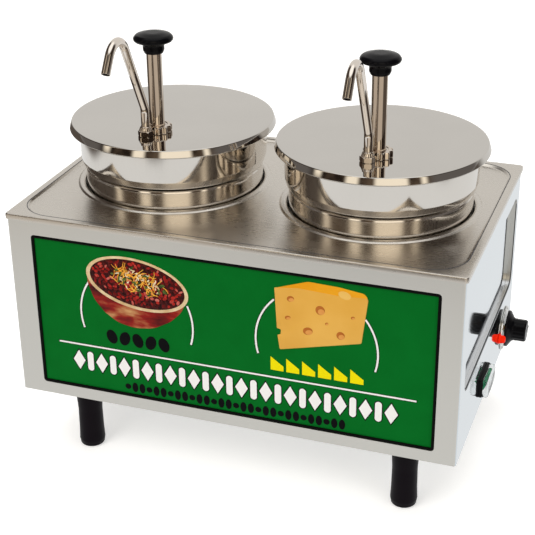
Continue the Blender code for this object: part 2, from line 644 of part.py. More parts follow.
# ---- controls on the right side -----------------------------------------------------------
def make_thermostat():
    turn = (0, math.pi / 2, 0)
    at = (CASE_X, DIAL_Y, CONTROL_Z)
    inner = CASE_X - SHEET - GAP
    body = box("thermostat_body", (inner - 34 * MM, DIAL_Y - 22 * MM, CONTROL_Z - 20 * MM),
               (inner, DIAL_Y + 22 * MM, CONTROL_Z + 20 * MM), "white_plastic")
    boolean(body, rod("cut_thermostat_shaft", 3.4 * MM, -20 * MM, 10 * MM, None, at, turn, 16))
    rod("thermostat_shaft", 3 * MM, -19 * MM, 17 * MM, "brass", at, turn, 16)
    hole = 5 * MM
    face = 1.7 * MM
    dial = [(hole, face), (DIAL_R - 0.4 * MM, face), (DIAL_R, face - 0.4 * MM), (DIAL_R, GAP), (hole, GAP)]
    turned("dial_plate", dial, "dial_silver", at, turn, 24, ring=True)
    knob = in_mm(((0, 29.4), (11, 29.4), (12.4, 28.4), (12.8, 26), (13, 12.5), (14.8, 10), (22.8, 5.2),
                  (23.4, 2.2), (3.3, 2.2), (3.3, 18), (0, 18)))
    turned("thermostat_knob", knob, "black_gloss", at, turn, 20)
    start = Vector((inner - 34 * MM - GAP, DIAL_Y, CONTROL_Z))
    y1 = POT_Y + 60 * MM
    path = [start, start + Vector((-6 * MM, 0, 0))]
    path += [Vector((inner - 46 * MM, DIAL_Y - 10 * MM, CONTROL_Z + 6 * MM)),
             Vector((POT_X + 60 * MM, y1 + 30 * MM, DECK_Z - WELL_DEPTH - 20 * MM)),
             Vector((POT_X + 30 * MM, y1, DECK_Z - WELL_DEPTH - 14 * MM)),
             Vector((POT_X - 10 * MM, POT_Y + 20 * MM, DECK_Z - WELL_DEPTH - 6 * MM)),
             Vector((POT_X - 30 * MM, POT_Y, DECK_Z - WELL_DEPTH - 6 * MM))]
    wire("probe_tube", path, 1.2 * MM, "copper", resolution=2)


def make_pilot():
    profile = in_mm(((0, 8.4), (3.4, 8), (5.3, 6.4), (5.8, 4.4), (5.8, 0.3), (4.9, 0.3), (4.9, -18),
                     (0, -18)))
    turned("pilot_lamp", profile, "lens_red", (CASE_X, PILOT_Y, PILOT_Z), (0, math.pi / 2, 0), 20)


def make_switch():
    """Lighted rocker switch: body with a flange, tilting rocker, clear splash boot."""
    half_w = SWITCH_W / 2
    half_h = SWITCH_H / 2
    face = CASE_X
    pocket = (18 * MM, 8.5 * MM)
    flange_top = face + 3.7 * MM
    body_y = half_w - SWITCH_STEP
    body_z = half_h - SWITCH_STEP
    body = box("switch_body", (face - 24 * MM, SWITCH_Y - body_y, CONTROL_Z - body_z),
               (face + 1 * MM, SWITCH_Y + body_y, CONTROL_Z + body_z), "black_plastic")
    flange = box("add_switch_flange", (face + GAP, SWITCH_Y - half_w, CONTROL_Z - half_h),
                 (flange_top, SWITCH_Y + half_w, CONTROL_Z + half_h), None)
    boolean(body, flange, "UNION")
    boolean(body, box("cut_switch_pocket", (face - 8 * MM, SWITCH_Y - pocket[0], CONTROL_Z - pocket[1]),
                      (face + 10 * MM, SWITCH_Y + pocket[0], CONTROL_Z + pocket[1]), None))
    outline = in_mm(((2.8, -7.2), (5.2, -3.8), (6.2, 0), (7, 3.8), (7.9, 7), (0, 7.4), (-5, 4.5), (-5, -4.5),
                     (-1.5, -7.4)))
    prism("switch_rocker", outline, -17.4 * MM, 17.4 * MM, "lens_green", (face, SWITCH_Y, CONTROL_Z),
          (math.pi / 2, 0, 0))
    low = flange_top + GAP
    film = 1 * MM
    boot_y = 22.5 * MM
    boot_z = 11.5 * MM
    tall = 7 * MM
    boot = box("switch_boot", (low, SWITCH_Y - boot_y, CONTROL_Z - boot_z),
               (low + tall, SWITCH_Y + boot_y, CONTROL_Z + boot_z), "clear_plastic")
    boolean(boot, box("cut_boot", (low - 4 * MM, SWITCH_Y - boot_y + film, CONTROL_Z - boot_z + film),
                      (low + tall - film, SWITCH_Y + boot_y - film, CONTROL_Z + boot_z - film), None))


# ---- wiring and legs ----------------------------------------------------------------------
def make_wiring():
    block = box("terminal_block", (20 * MM, 110 * MM, LEG_H + 2.2 * MM), (80 * MM, 134 * MM, LEG_H + 20 * MM),
                "white_plastic")
    for i in range(4):
        x = (29 + 14 * i) * MM
        boolean(block, rod(f"cut_terminal_{i}", 3 * MM, LEG_H + 12 * MM, LEG_H + 30 * MM, None,
                           (x, 122 * MM, 0), segments=10))
    collar = in_mm(((3.9, 22), (5.5, 22), (8, 4), (11, 3.6), (11, 2.3), (7.9, 2.3), (7.9, -4), (3.9, -4)))
    turned("strain_relief", collar, "rubber", (CORD_X, CASE_Y, CORD_Z), (-math.pi / 2, 0, 0), 14, ring=True)
    y0 = CASE_Y
    path = [Vector((CORD_X, y0 - 22 * MM, CORD_Z)), Vector((CORD_X, y0 + 24 * MM, CORD_Z))]
    bend = 18 * MM
    for i in range(1, 6):
        a = math.radians(90 * i / 5)
        path.append(Vector((CORD_X, y0 + 24 * MM + bend * math.sin(a), CORD_Z - bend * (1 - math.cos(a)))))
    y1 = y0 + 24 * MM + bend
    low = 4 * MM
    turn_r = 26 * MM
    path.append(Vector((CORD_X, y1, low + turn_r)))
    for i in range(1, 6):
        a = math.radians(90 * i / 5)
        path.append(Vector((CORD_X - turn_r * (1 - math.cos(a)), y1, low + turn_r * (1 - math.sin(a)))))
    end_x = CORD_X - turn_r - 190 * MM
    path.append(Vector((end_x, y1, low)))
    wire("power_cord", path, CORD_R, "rubber", resolution=2)
    x1 = end_x - GAP
    plug = place("plug", rod_mesh(13 * MM, 0, 34 * MM, 20, 8 * MM), "rubber",
                 (x1 - 34 * MM, y1, 13.2 * MM), (0, math.pi / 2, 0))
    for i, (dy, dz) in enumerate(((-6.3, 0), (6.3, 0))):
        prong = box(f"add_prong_{i}", (x1 - 50 * MM, y1 + (dy - 0.8) * MM, 13.2 * MM + (dz - 3) * MM),
                    (x1 - 32 * MM, y1 + (dy + 0.8) * MM, 13.2 * MM + (dz + 3) * MM), None)
        boolean(plug, prong, "UNION")


def make_legs():
    """Flared tubular legs, drilled from above for the bolts that hold them to the base."""
    top_z = (LEG_H - GAP) / MM
    profile = in_mm(((17.5, top_z), (18.4, 88), (18.2, 82), (16.2, 72), (14.9, 50), (15.3, 22), (15.9, 8),
                     (14.6, 1.4), (12, 0), (0, 0), (0, 76), (4.2, 76), (4.2, top_z)))
    names = ("front_left", "front_right", "rear_left", "rear_right")
    for tag, (sx, sy) in zip(names, CORNERS):
        at = (sx * LEG_X, sy * LEG_Y, 0)
        turned(f"leg_{tag}", profile, "black_plastic", at, steps=14, ring=True)
        top = LEG_H + GAP + SHEET + GAP
        head = top + 5 * MM
        foot = 77 * MM
        bolt = [(0, head), (7.5 * MM, head), (7.5 * MM, top), (4 * MM, top), (4 * MM, foot), (0, foot)]
        turned(f"leg_bolt_{tag}", bolt, "inner_steel", at, steps=12)


clear_scene()
PARTS = collection("topping_warmer")
CUTTERS = collection("cutters")
MODEL_FRAME = bpy.data.objects.new("model_frame", None)
MODEL_FRAME.location.z = -(LEG_H + GAP)
PARTS.objects.link(MODEL_FRAME)
make_casing()
make_deck()
make_base()
make_back_panel()
make_sign()
make_lamp()
make_wells()
for side_tag, side_x in SIDES:
    make_pot(side_tag, side_x)
    make_lid(side_tag, side_x)
    make_cylinder(side_tag, side_x)
    make_collar(side_tag, side_x)
    make_nut(side_tag, side_x)
    make_plunger(side_tag, side_x)
    make_ball(side_tag, side_x)
    hollow_tube(f"discharge_tube_{side_tag}", spout_path(), SPOUT_R, 1 * MM, "pump_steel",
                pump_axis(side_tag, side_x) + SPOUT_OFF)
make_thermostat()
make_pilot()
make_switch()
make_wiring()
make_legs()
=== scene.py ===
"""Looks for the twin topping warmer: smooth shells, finishes, the printed sign and a plain studio.

Metres, +Z up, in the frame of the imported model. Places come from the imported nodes' boxes. Profiles and
outlines are in mm, as (across, up, corner rounding), and add the fine shapes that the boxes don't hold.
"""
import math
import random

import bmesh
import bpy
from mathutils import Matrix, Vector


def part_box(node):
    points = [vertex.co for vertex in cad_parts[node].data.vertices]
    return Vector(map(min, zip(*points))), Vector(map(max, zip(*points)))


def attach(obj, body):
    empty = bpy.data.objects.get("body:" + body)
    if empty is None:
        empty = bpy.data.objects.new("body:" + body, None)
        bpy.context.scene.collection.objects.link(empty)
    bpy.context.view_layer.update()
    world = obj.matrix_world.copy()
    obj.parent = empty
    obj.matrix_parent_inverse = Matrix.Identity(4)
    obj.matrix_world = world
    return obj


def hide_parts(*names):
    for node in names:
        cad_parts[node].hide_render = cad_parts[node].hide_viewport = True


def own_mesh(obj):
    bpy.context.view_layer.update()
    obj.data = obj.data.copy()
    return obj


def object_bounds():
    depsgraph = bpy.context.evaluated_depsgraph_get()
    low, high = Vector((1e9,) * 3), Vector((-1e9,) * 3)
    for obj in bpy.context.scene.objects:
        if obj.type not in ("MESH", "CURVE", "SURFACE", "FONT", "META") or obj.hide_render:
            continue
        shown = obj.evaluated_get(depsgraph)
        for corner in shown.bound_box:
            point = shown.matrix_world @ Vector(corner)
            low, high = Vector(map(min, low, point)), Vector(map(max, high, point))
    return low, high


MM = 0.001
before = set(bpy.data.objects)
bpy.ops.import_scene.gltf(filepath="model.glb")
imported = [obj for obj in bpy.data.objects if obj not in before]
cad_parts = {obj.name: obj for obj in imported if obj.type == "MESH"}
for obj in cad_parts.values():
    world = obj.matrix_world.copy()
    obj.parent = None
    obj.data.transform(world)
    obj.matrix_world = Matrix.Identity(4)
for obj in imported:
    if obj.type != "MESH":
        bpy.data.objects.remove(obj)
CAD_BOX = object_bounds()

SIDES = ("left", "right")
CORNERS = ("front_left", "front_right", "rear_left", "rear_right")
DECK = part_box("deck_plate")
DECK_Z = DECK[1].z
SUNK = 3.0              # depth of the deck's sunken floor, in mm
FLOOR_Z = DECK_Z - SUNK * MM
BORDER = 8.0            # flat border round the sunken floor, in mm
STEP_R = 42.0           # corner radius of the step inside the border, in mm
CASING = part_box("casing")
FACE = CASING[1].x      # the right-hand side panel
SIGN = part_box("sign_trim")
SIGN_MID = (SIGN[0] + SIGN[1]) / 2
TABLE_Z = CAD_BOX[0].z
TO_SIDE = Matrix.Rotation(math.pi / 2, 4, "Y")      # a turned shape's +Z becomes +X
TO_FRONT = Matrix.Rotation(math.pi / 2, 4, "X")     # a flat outline's +Z becomes -Y
TO_BACK = Matrix.Rotation(-math.pi / 2, 4, "X")     # a turned shape's +Z becomes +Y
FLANGE_TURN = Matrix(((0, 0, 1, 0), (1, 0, 0, 0), (0, 1, 0, 0), (0, 0, 0, 1)))    # X, Y, Z become +Y, +Z, +X
ROCKER_TURN = Matrix(((0, 1, 0, 0), (0, 0, 1, 0), (1, 0, 0, 0), (0, 0, 0, 1)))    # X, Y, Z become +Z, +X, +Y
SHARP = 35              # degrees over which an edge stays sharp


# ---- meshes ----
def spot(node):
    """A node's low corner, high corner and middle."""
    low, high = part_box(node)
    return low, high, (low + high) / 2


def stance(node):
    """A node's height in mm, and the foot of its axis."""
    low, high, middle = spot(node)
    return (high.z - low.z) / MM, Vector((middle.x, middle.y, low.z))


def fillet(corners, closed=False, steps=6, unit=MM):
    """A polyline of (x, y, radius) corners with each corner rounded, times unit."""
    points = []
    count = len(corners)
    for i, (x, y, radius) in enumerate(corners):
        here = Vector((x, y))
        ends = not closed and i in (0, count - 1)
        if radius <= 0 or ends:
            points.append(here)
            continue
        before = Vector(corners[i - 1][:2]) - here
        after = Vector(corners[(i + 1) % count][:2]) - here
        half = before.angle(after) / 2
        if half > math.radians(89.5):
            points.append(here)
            continue
        reach = min(radius / math.tan(half), before.length * 0.49, after.length * 0.49)
        real = reach * math.tan(half)
        middle = here + (before.normalized() + after.normalized()).normalized() * real / math.sin(half)
        start = here + before.normalized() * reach - middle
        end = here + after.normalized() * reach - middle
        sweep = start.angle_signed(end)
        for k in range(steps + 1):
            turn = -sweep * k / steps
            c, s = math.cos(turn), math.sin(turn)
            points.append(middle + Vector((start.x * c - start.y * s, start.x * s + start.y * c)))
    return [(p.x * unit, p.y * unit) for p in points]


def lathe_mesh(profile, segments=96, closed=False, shape=None):
    """Turn (radius, height) points about Z; shape may change a radius by its angle."""
    bm = bmesh.new()
    rings = []
    for r, z in profile:
        if r < 1e-7:
            rings.append([bm.verts.new((0, 0, z))])
            continue
        ring = []
        for i in range(segments):
            a = 2 * math.pi * i / segments
            radius = shape(r, z, a) if shape else r
            ring.append(bm.verts.new((radius * math.cos(a), radius * math.sin(a), z)))
        rings.append(ring)
    pairs = list(zip(rings, rings[1:]))
    if closed:
        pairs.append((rings[-1], rings[0]))
    for first, second in pairs:
        for i in range(segments):
            j = (i + 1) % segments
            quad = [first[i % len(first)], first[j % len(first)],
                    second[j % len(second)], second[i % len(second)]]
            corners = list(dict.fromkeys(quad))
            if len(corners) > 2:
                bm.faces.new(corners)
    bmesh.ops.recalc_face_normals(bm, faces=bm.faces)
    return bm


def tube_mesh(points, radius, wall, segments=40, side=Vector((1, 0, 0))):
    """A hollow tube along a path, open at both ends; the path never runs along side."""
    bm = bmesh.new()
    skins = []
    for r in (radius, radius - wall):
        rings = []
        for i, p in enumerate(points):
            ahead = (points[min(i + 1, len(points) - 1)] - points[max(i - 1, 0)]).normalized()
            u = (side - ahead * side.dot(ahead)).normalized()
            v = ahead.cross(u)
            rings.append([bm.verts.new(p + r * (u * math.cos(a) + v * math.sin(a)))
                          for a in (2 * math.pi * k / segments for k in range(segments))])
        skins.append(rings)
    outer, inner = skins
    pairs = list(zip(outer, outer[1:])) + list(zip(inner, inner[1:]))
    pairs += [(outer[0], inner[0]), (outer[-1], inner[-1])]
    for first, second in pairs:
        skin_between(bm, first, second)
    bmesh.ops.recalc_face_normals(bm, faces=bm.faces)
    return bm


def skin_between(bm, first, second):
    """Quads between two rings of as many points."""
    for i in range(len(first)):
        j = (i + 1) % len(first)
        bm.faces.new((first[i], first[j], second[j], second[i]))


def loft_mesh(rings, closed=False):
    """A skin over rings: a cap on the last one, or closed from the last to the first."""
    bm = bmesh.new()
    loops = [[bm.verts.new(p) for p in ring] for ring in rings]
    for first, second in zip(loops, loops[1:]):
        skin_between(bm, first, second)
    if closed:
        skin_between(bm, loops[0], loops[-1])
    else:
        bm.faces.new(loops[-1])
    bmesh.ops.recalc_face_normals(bm, faces=bm.faces)
    return bm


def plate_mesh(outline, thickness, bevel=0.0, holes=()):
    """A flat plate from an outline in the XY plane, standing up from z = 0, its top edge rounded."""
    bm = bmesh.new()
    edges = []
    for loop in (outline, *holes):
        verts = [bm.verts.new((x, y, 0)) for x, y in loop]
        edges += [bm.edges.new((a, b)) for a, b in zip(verts, verts[1:] + verts[:1])]
    if holes:
        bmesh.ops.triangle_fill(bm, use_beauty=True, use_dissolve=False, edges=edges)
    else:
        bm.faces.new(bm.verts[:])
    grown = bmesh.ops.extrude_face_region(bm, geom=bm.faces[:])
    top = [g for g in grown["geom"] if isinstance(g, bmesh.types.BMVert)]
    bmesh.ops.translate(bm, vec=(0, 0, thickness), verts=top)
    bmesh.ops.recalc_face_normals(bm, faces=bm.faces)
    if bevel:
        lifted = set(top)
        rim = [e for e in bm.edges if all(v in lifted for v in e.verts)
               and e.calc_face_angle(0) > math.radians(60)]
        bmesh.ops.bevel(bm, geom=rim, offset=bevel, segments=3, affect="EDGES", profile=0.5)
    return bm


def box_mesh(low, high, radius, segments=1):
    """A box between two corners, with rounded edges, all in mm."""
    bm = bmesh.new()
    bmesh.ops.create_cube(bm, size=1.0)
    size = (Vector(high) - Vector(low)) * MM
    bmesh.ops.scale(bm, vec=size, verts=bm.verts)
    bmesh.ops.translate(bm, vec=Vector(low) * MM + size / 2, verts=bm.verts)
    bmesh.ops.bevel(bm, geom=bm.edges[:], offset=radius * MM, segments=segments, affect="EDGES", profile=0.5)
    return bm


def rod_mesh(radius, z0, z1, at, segments=64):
    """An upright rod; radius is in mm, heights and place are in metres."""
    bm = bmesh.new()
    bmesh.ops.create_cone(bm, cap_ends=True, segments=segments, radius1=radius * MM, radius2=radius * MM,
                          depth=z1 - z0)
    bmesh.ops.translate(bm, vec=(at.x, at.y, (z0 + z1) / 2), verts=bm.verts)
    return bm


def rounded_rect(half_x, half_y, radius, steps=10):
    """Outline of a rounded rectangle, anticlockwise, in the units it is given."""
    points = []
    for sx, sy, start in ((1, 1, 0), (-1, 1, 90), (-1, -1, 180), (1, -1, 270)):
        for i in range(steps + 1):
            a = math.radians(start + 90 * i / steps)
            points.append((sx * (half_x - radius) + radius * math.cos(a),
                           sy * (half_y - radius) + radius * math.sin(a)))
    return points


def rect_rings(half_x, half_y, levels, steps):
    """Rounded rectangles for a loft, from (inset, height, corner radius) levels in mm."""
    rings = []
    for inset, z, radius in levels:
        outline = rounded_rect(half_x - inset * MM, half_y - inset * MM, radius * MM, steps)
        rings.append([(x, y, z * MM) for x, y in outline])
    return rings


def add_mesh(target, extra):
    """Append one bmesh to another."""
    mesh = bpy.data.meshes.new("part")
    extra.to_mesh(mesh)
    extra.free()
    target.from_mesh(mesh)
    bpy.data.meshes.remove(mesh)


def piece(name, bm, key, body="case", nodes=(), slot=None, at=(0, 0, 0), turn=None, sharp=SHARP):
    """Make a shown piece from a bmesh, placed in the frame, riding on a body."""
    mesh = bpy.data.meshes.new(name)
    matrix = Matrix.Translation(Vector(at)) @ (turn or Matrix.Identity(4))
    bmesh.ops.transform(bm, matrix=matrix, verts=bm.verts)
    bm.to_mesh(mesh)
    bm.free()
    mesh.shade_smooth()
    mesh.set_sharp_from_angle(angle=math.radians(sharp))
    obj = bpy.data.objects.new(name, mesh)
    bpy.context.scene.collection.objects.link(obj)
    mesh.materials.append(MAT[key])
    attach(obj, body)
    if nodes:
        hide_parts(*nodes)
    return obj


def turned(name, profile, key, body, nodes, at, segments=96, closed=False, shape=None, steps=6, **rest):
    """A shown piece turned from a profile."""
    bm = lathe_mesh(fillet(profile, closed, steps), segments, closed, shape)
    return piece(name, bm, key, body, nodes, at=at, **rest)


def cut(obj, bm):
    """Subtract a throwaway mesh, with the piece's modifiers applied."""
    mesh = bpy.data.meshes.new("tool")
    bm.to_mesh(mesh)
    bm.free()
    tool = bpy.data.objects.new("tool", mesh)
    bpy.context.scene.collection.objects.link(tool)
    mod = obj.modifiers.new("cut", "BOOLEAN")
    mod.operation = "DIFFERENCE"
    mod.solver = "EXACT"
    mod.object = tool
    bpy.context.view_layer.update()
    done = bpy.data.meshes.new_from_object(obj.evaluated_get(bpy.context.evaluated_depsgraph_get()))
    obj.modifiers.clear()
    bpy.data.objects.remove(tool, do_unlink=True)
    obj.data = done
    done.shade_smooth()
    done.set_sharp_from_angle(angle=math.radians(SHARP))


# ---- node graphs ----
def set_socket(tree, socket, value):
    """Link a socket, or give it a value; a plain colour gets its alpha."""
    if isinstance(value, bpy.types.NodeSocket):
        tree.links.new(value, socket)
    elif socket.type == "RGBA":
        socket.default_value = (*value[:3], 1)
    else:
        socket.default_value = value


def add(tree, kind, props=None, **inputs):
    """Add a node. An input is named as in Blender, or i0, i1, ... by its place."""
    node = tree.nodes.new(kind)
    for key, value in (props or {}).items():
        setattr(node, key, value)
    for key, value in inputs.items():
        by_place = key[0] == "i" and key[1:].isdigit()
        set_socket(tree, node.inputs[int(key[1:])] if by_place else node.inputs[key.replace("_", " ")], value)
    return node


def calc(tree, operation, a, b=0.0):
    return add(tree, "ShaderNodeMath", {"operation": operation}, i0=a, i1=b).outputs[0]


def times(tree, a, b):
    return calc(tree, "MULTIPLY", a, b)


def plus(tree, a, b):
    return calc(tree, "ADD", a, b)


def smooth(tree, value, low, high, to_low=0.0, to_high=1.0):
    return add(tree, "ShaderNodeMapRange", {"interpolation_type": "SMOOTHSTEP"}, Value=value, From_Min=low,
               From_Max=high, To_Min=to_low, To_Max=to_high).outputs[0]


def blend(tree, factor, a, b):
    return add(tree, "ShaderNodeMix", {"data_type": "RGBA"}, i0=factor, i6=a, i7=b).outputs[2]


def noise(tree, coord, scale, stretch=(1, 1, 1), detail=3.0):
    """Noise in 0..1 over frame coordinates, stretched along an axis by a small factor."""
    mapped = add(tree, "ShaderNodeMapping", Vector=coord, Scale=[scale * s for s in stretch]).outputs[0]
    return add(tree, "ShaderNodeTexNoise", Vector=mapped, Scale=1.0, Detail=detail).outputs[0]


def new_material(name):
    mat = bpy.data.materials.new(name)
    mat.use_nodes = True
    tree = mat.node_tree
    return mat, tree, add(tree, "ShaderNodeTexCoord").outputs["Object"]


def finish_with(tree, height=None, strength=0.1, distance=0.0002, **inputs):
    """Set a Principled shader's inputs, with a bump from height."""
    shader = tree.nodes["Principled BSDF"]
    for key, value in inputs.items():
        set_socket(tree, shader.inputs[key.replace("_", " ")], value)
    if height is not None:
        bump = add(tree, "ShaderNodeBump", Height=height, Strength=strength, Distance=distance)
        tree.links.new(bump.outputs[0], shader.inputs["Normal"])
    return shader


# ---- materials ----
def steel(name, colour, rough, grain=(1, 1, 1), grain_scale=900, vary=0.05, bump=0.04, cloud_scale=9):
    """Stainless sheet: fine rolling grain, cloudy roughness and a faint change of tone."""
    mat, tree, coord = new_material(name)
    fine = noise(tree, coord, grain_scale, grain, 2.0)
    cloud = noise(tree, coord, cloud_scale, (1, 1, 1), 4.0)
    rub = add(tree, "ShaderNodeMath", {"operation": "MULTIPLY_ADD"}, i0=cloud, i1=vary, i2=rough - vary / 2)
    rub = plus(tree, rub.outputs[0], times(tree, calc(tree, "SUBTRACT", fine, 0.5), vary))
    tone = blend(tree, cloud, [c * 0.94 for c in colour], [min(1, c * 1.05) for c in colour])
    finish_with(tree, fine, bump, 0.00006, Base_Color=tone, Roughness=rub, Metallic=1.0)
    return mat


def case_steel():
    """Case sheet: satin on the front and back, near mirror on the two sides; a painted reflection gives the
    sides a bluish tint and upward-facing ledges a pale tone.
    """
    mat, tree, coord = new_material("case_sheet")
    fine = noise(tree, coord, 700, (1, 0.02, 1), 2.0)
    cloud = noise(tree, coord, 7, (1, 1, 1), 4.0)
    normal = add(tree, "ShaderNodeNewGeometry").outputs["Normal"]
    parts = add(tree, "ShaderNodeSeparateXYZ", Vector=normal).outputs
    facing = calc(tree, "ABSOLUTE", parts[0])
    side = smooth(tree, facing, 0.5, 0.9)
    satin = plus(tree, 0.27, times(tree, cloud, 0.10))
    mirror = plus(tree, 0.035, times(tree, cloud, 0.03))
    rough = plus(tree, times(tree, side, mirror), times(tree, calc(tree, "SUBTRACT", 1.0, side), satin))
    front = blend(tree, cloud, (0.63, 0.61, 0.565), (0.70, 0.68, 0.635))
    # painted reflection: side faces take a bluish tint and upward faces a pale tone, for the surroundings
    # they mirror
    tone = blend(tree, side, front, (0.74, 0.79, 0.83))
    tone = blend(tree, smooth(tree, parts[2], 0.5, 0.9), tone, (0.84, 0.85, 0.87))
    strength = smooth(tree, facing, 0.5, 0.9, 0.05, 0.004)
    finish_with(tree, fine, strength, 0.00008, Base_Color=tone, Roughness=rough, Metallic=1.0)
    return mat


def moulded(name, colour, rough, speck=1800, bump=0.08, coat=0.0, sheen=0.0, specular=0.4):
    """Moulded plastic or rubber with a fine skin texture and slight rub marks."""
    mat, tree, coord = new_material(name)
    fine = noise(tree, coord, speck, (1, 1, 1), 2.0)
    cloud = noise(tree, coord, 45, (1, 1, 1), 4.0)
    tone = blend(tree, cloud, [c * 0.8 for c in colour], [min(1, c * 1.25 + 0.002) for c in colour])
    rub = plus(tree, rough - 0.05, times(tree, cloud, 0.12))
    finish_with(tree, fine, bump, 0.0001, Base_Color=tone, Roughness=rub, Metallic=0.0, Coat_Weight=coat,
                Coat_Roughness=0.12, Sheen_Weight=sheen, Specular_IOR_Level=specular)
    return mat


def clear(name, colour, rough=0.08, weight=0.85, tint=0.0, ior=1.45, specular=0.5):
    """Moulded translucent plastic or glass with faint flow marks."""
    mat, tree, coord = new_material(name)
    flow = noise(tree, coord, 160, (1, 1, 0.3), 3.0)
    tone = blend(tree, flow, [c * 0.92 for c in colour], colour)
    rub = plus(tree, rough, times(tree, flow, 0.08))
    finish_with(tree, flow, 0.05, 0.0002, Base_Color=tone, Metallic=0.0, Roughness=rub, IOR=ior,
                Transmission_Weight=weight, Emission_Color=colour, Emission_Strength=tint,
                Specular_IOR_Level=specular)
    return mat


def printed(name, dark, light, painted_glow=0.0):
    """Ink on plastic: a faint print mottle under a satin clear film, with an optional painted glow."""
    mat, tree, coord = new_material(name)
    dots = noise(tree, coord, 1680, (1, 0.05, 1), 1.0)
    cloud = noise(tree, coord, 35, (1, 1, 1), 3.0)
    tone = blend(tree, plus(tree, times(tree, dots, 0.45), times(tree, cloud, 0.55)), dark, light)
    finish_with(tree, dots, 0.06, 0.00008, Base_Color=tone, Roughness=0.42, Metallic=0.0,
                Specular_IOR_Level=0.03, Emission_Color=tone, Emission_Strength=painted_glow)
    return mat


def painted(name, scale, stops, stretch=(1, 1, 1), detail=3.0, island=False, rough=0.4):
    """Illustration colour: a ramp over noise, or one tone for each separate fleck."""
    mat, tree, coord = new_material(name)
    grain = noise(tree, coord, scale, stretch, detail)
    factor = grain
    if island:
        lot = add(tree, "ShaderNodeNewGeometry").outputs["Random Per Island"]
        factor = plus(tree, times(tree, lot, 0.8), times(tree, grain, 0.3))
    ramp = add(tree, "ShaderNodeValToRGB", Fac=factor)
    elements = ramp.color_ramp.elements
    while len(elements) < len(stops):
        elements.new(0.5)
    for element, (place, colour) in zip(elements, stops):
        element.position = place
        element.color = (*colour, 1)
    finish_with(tree, grain, 0.1, 0.0002, Base_Color=ramp.outputs[0], Roughness=rough, Metallic=0.0,
                Specular_IOR_Level=0.12)
    return mat


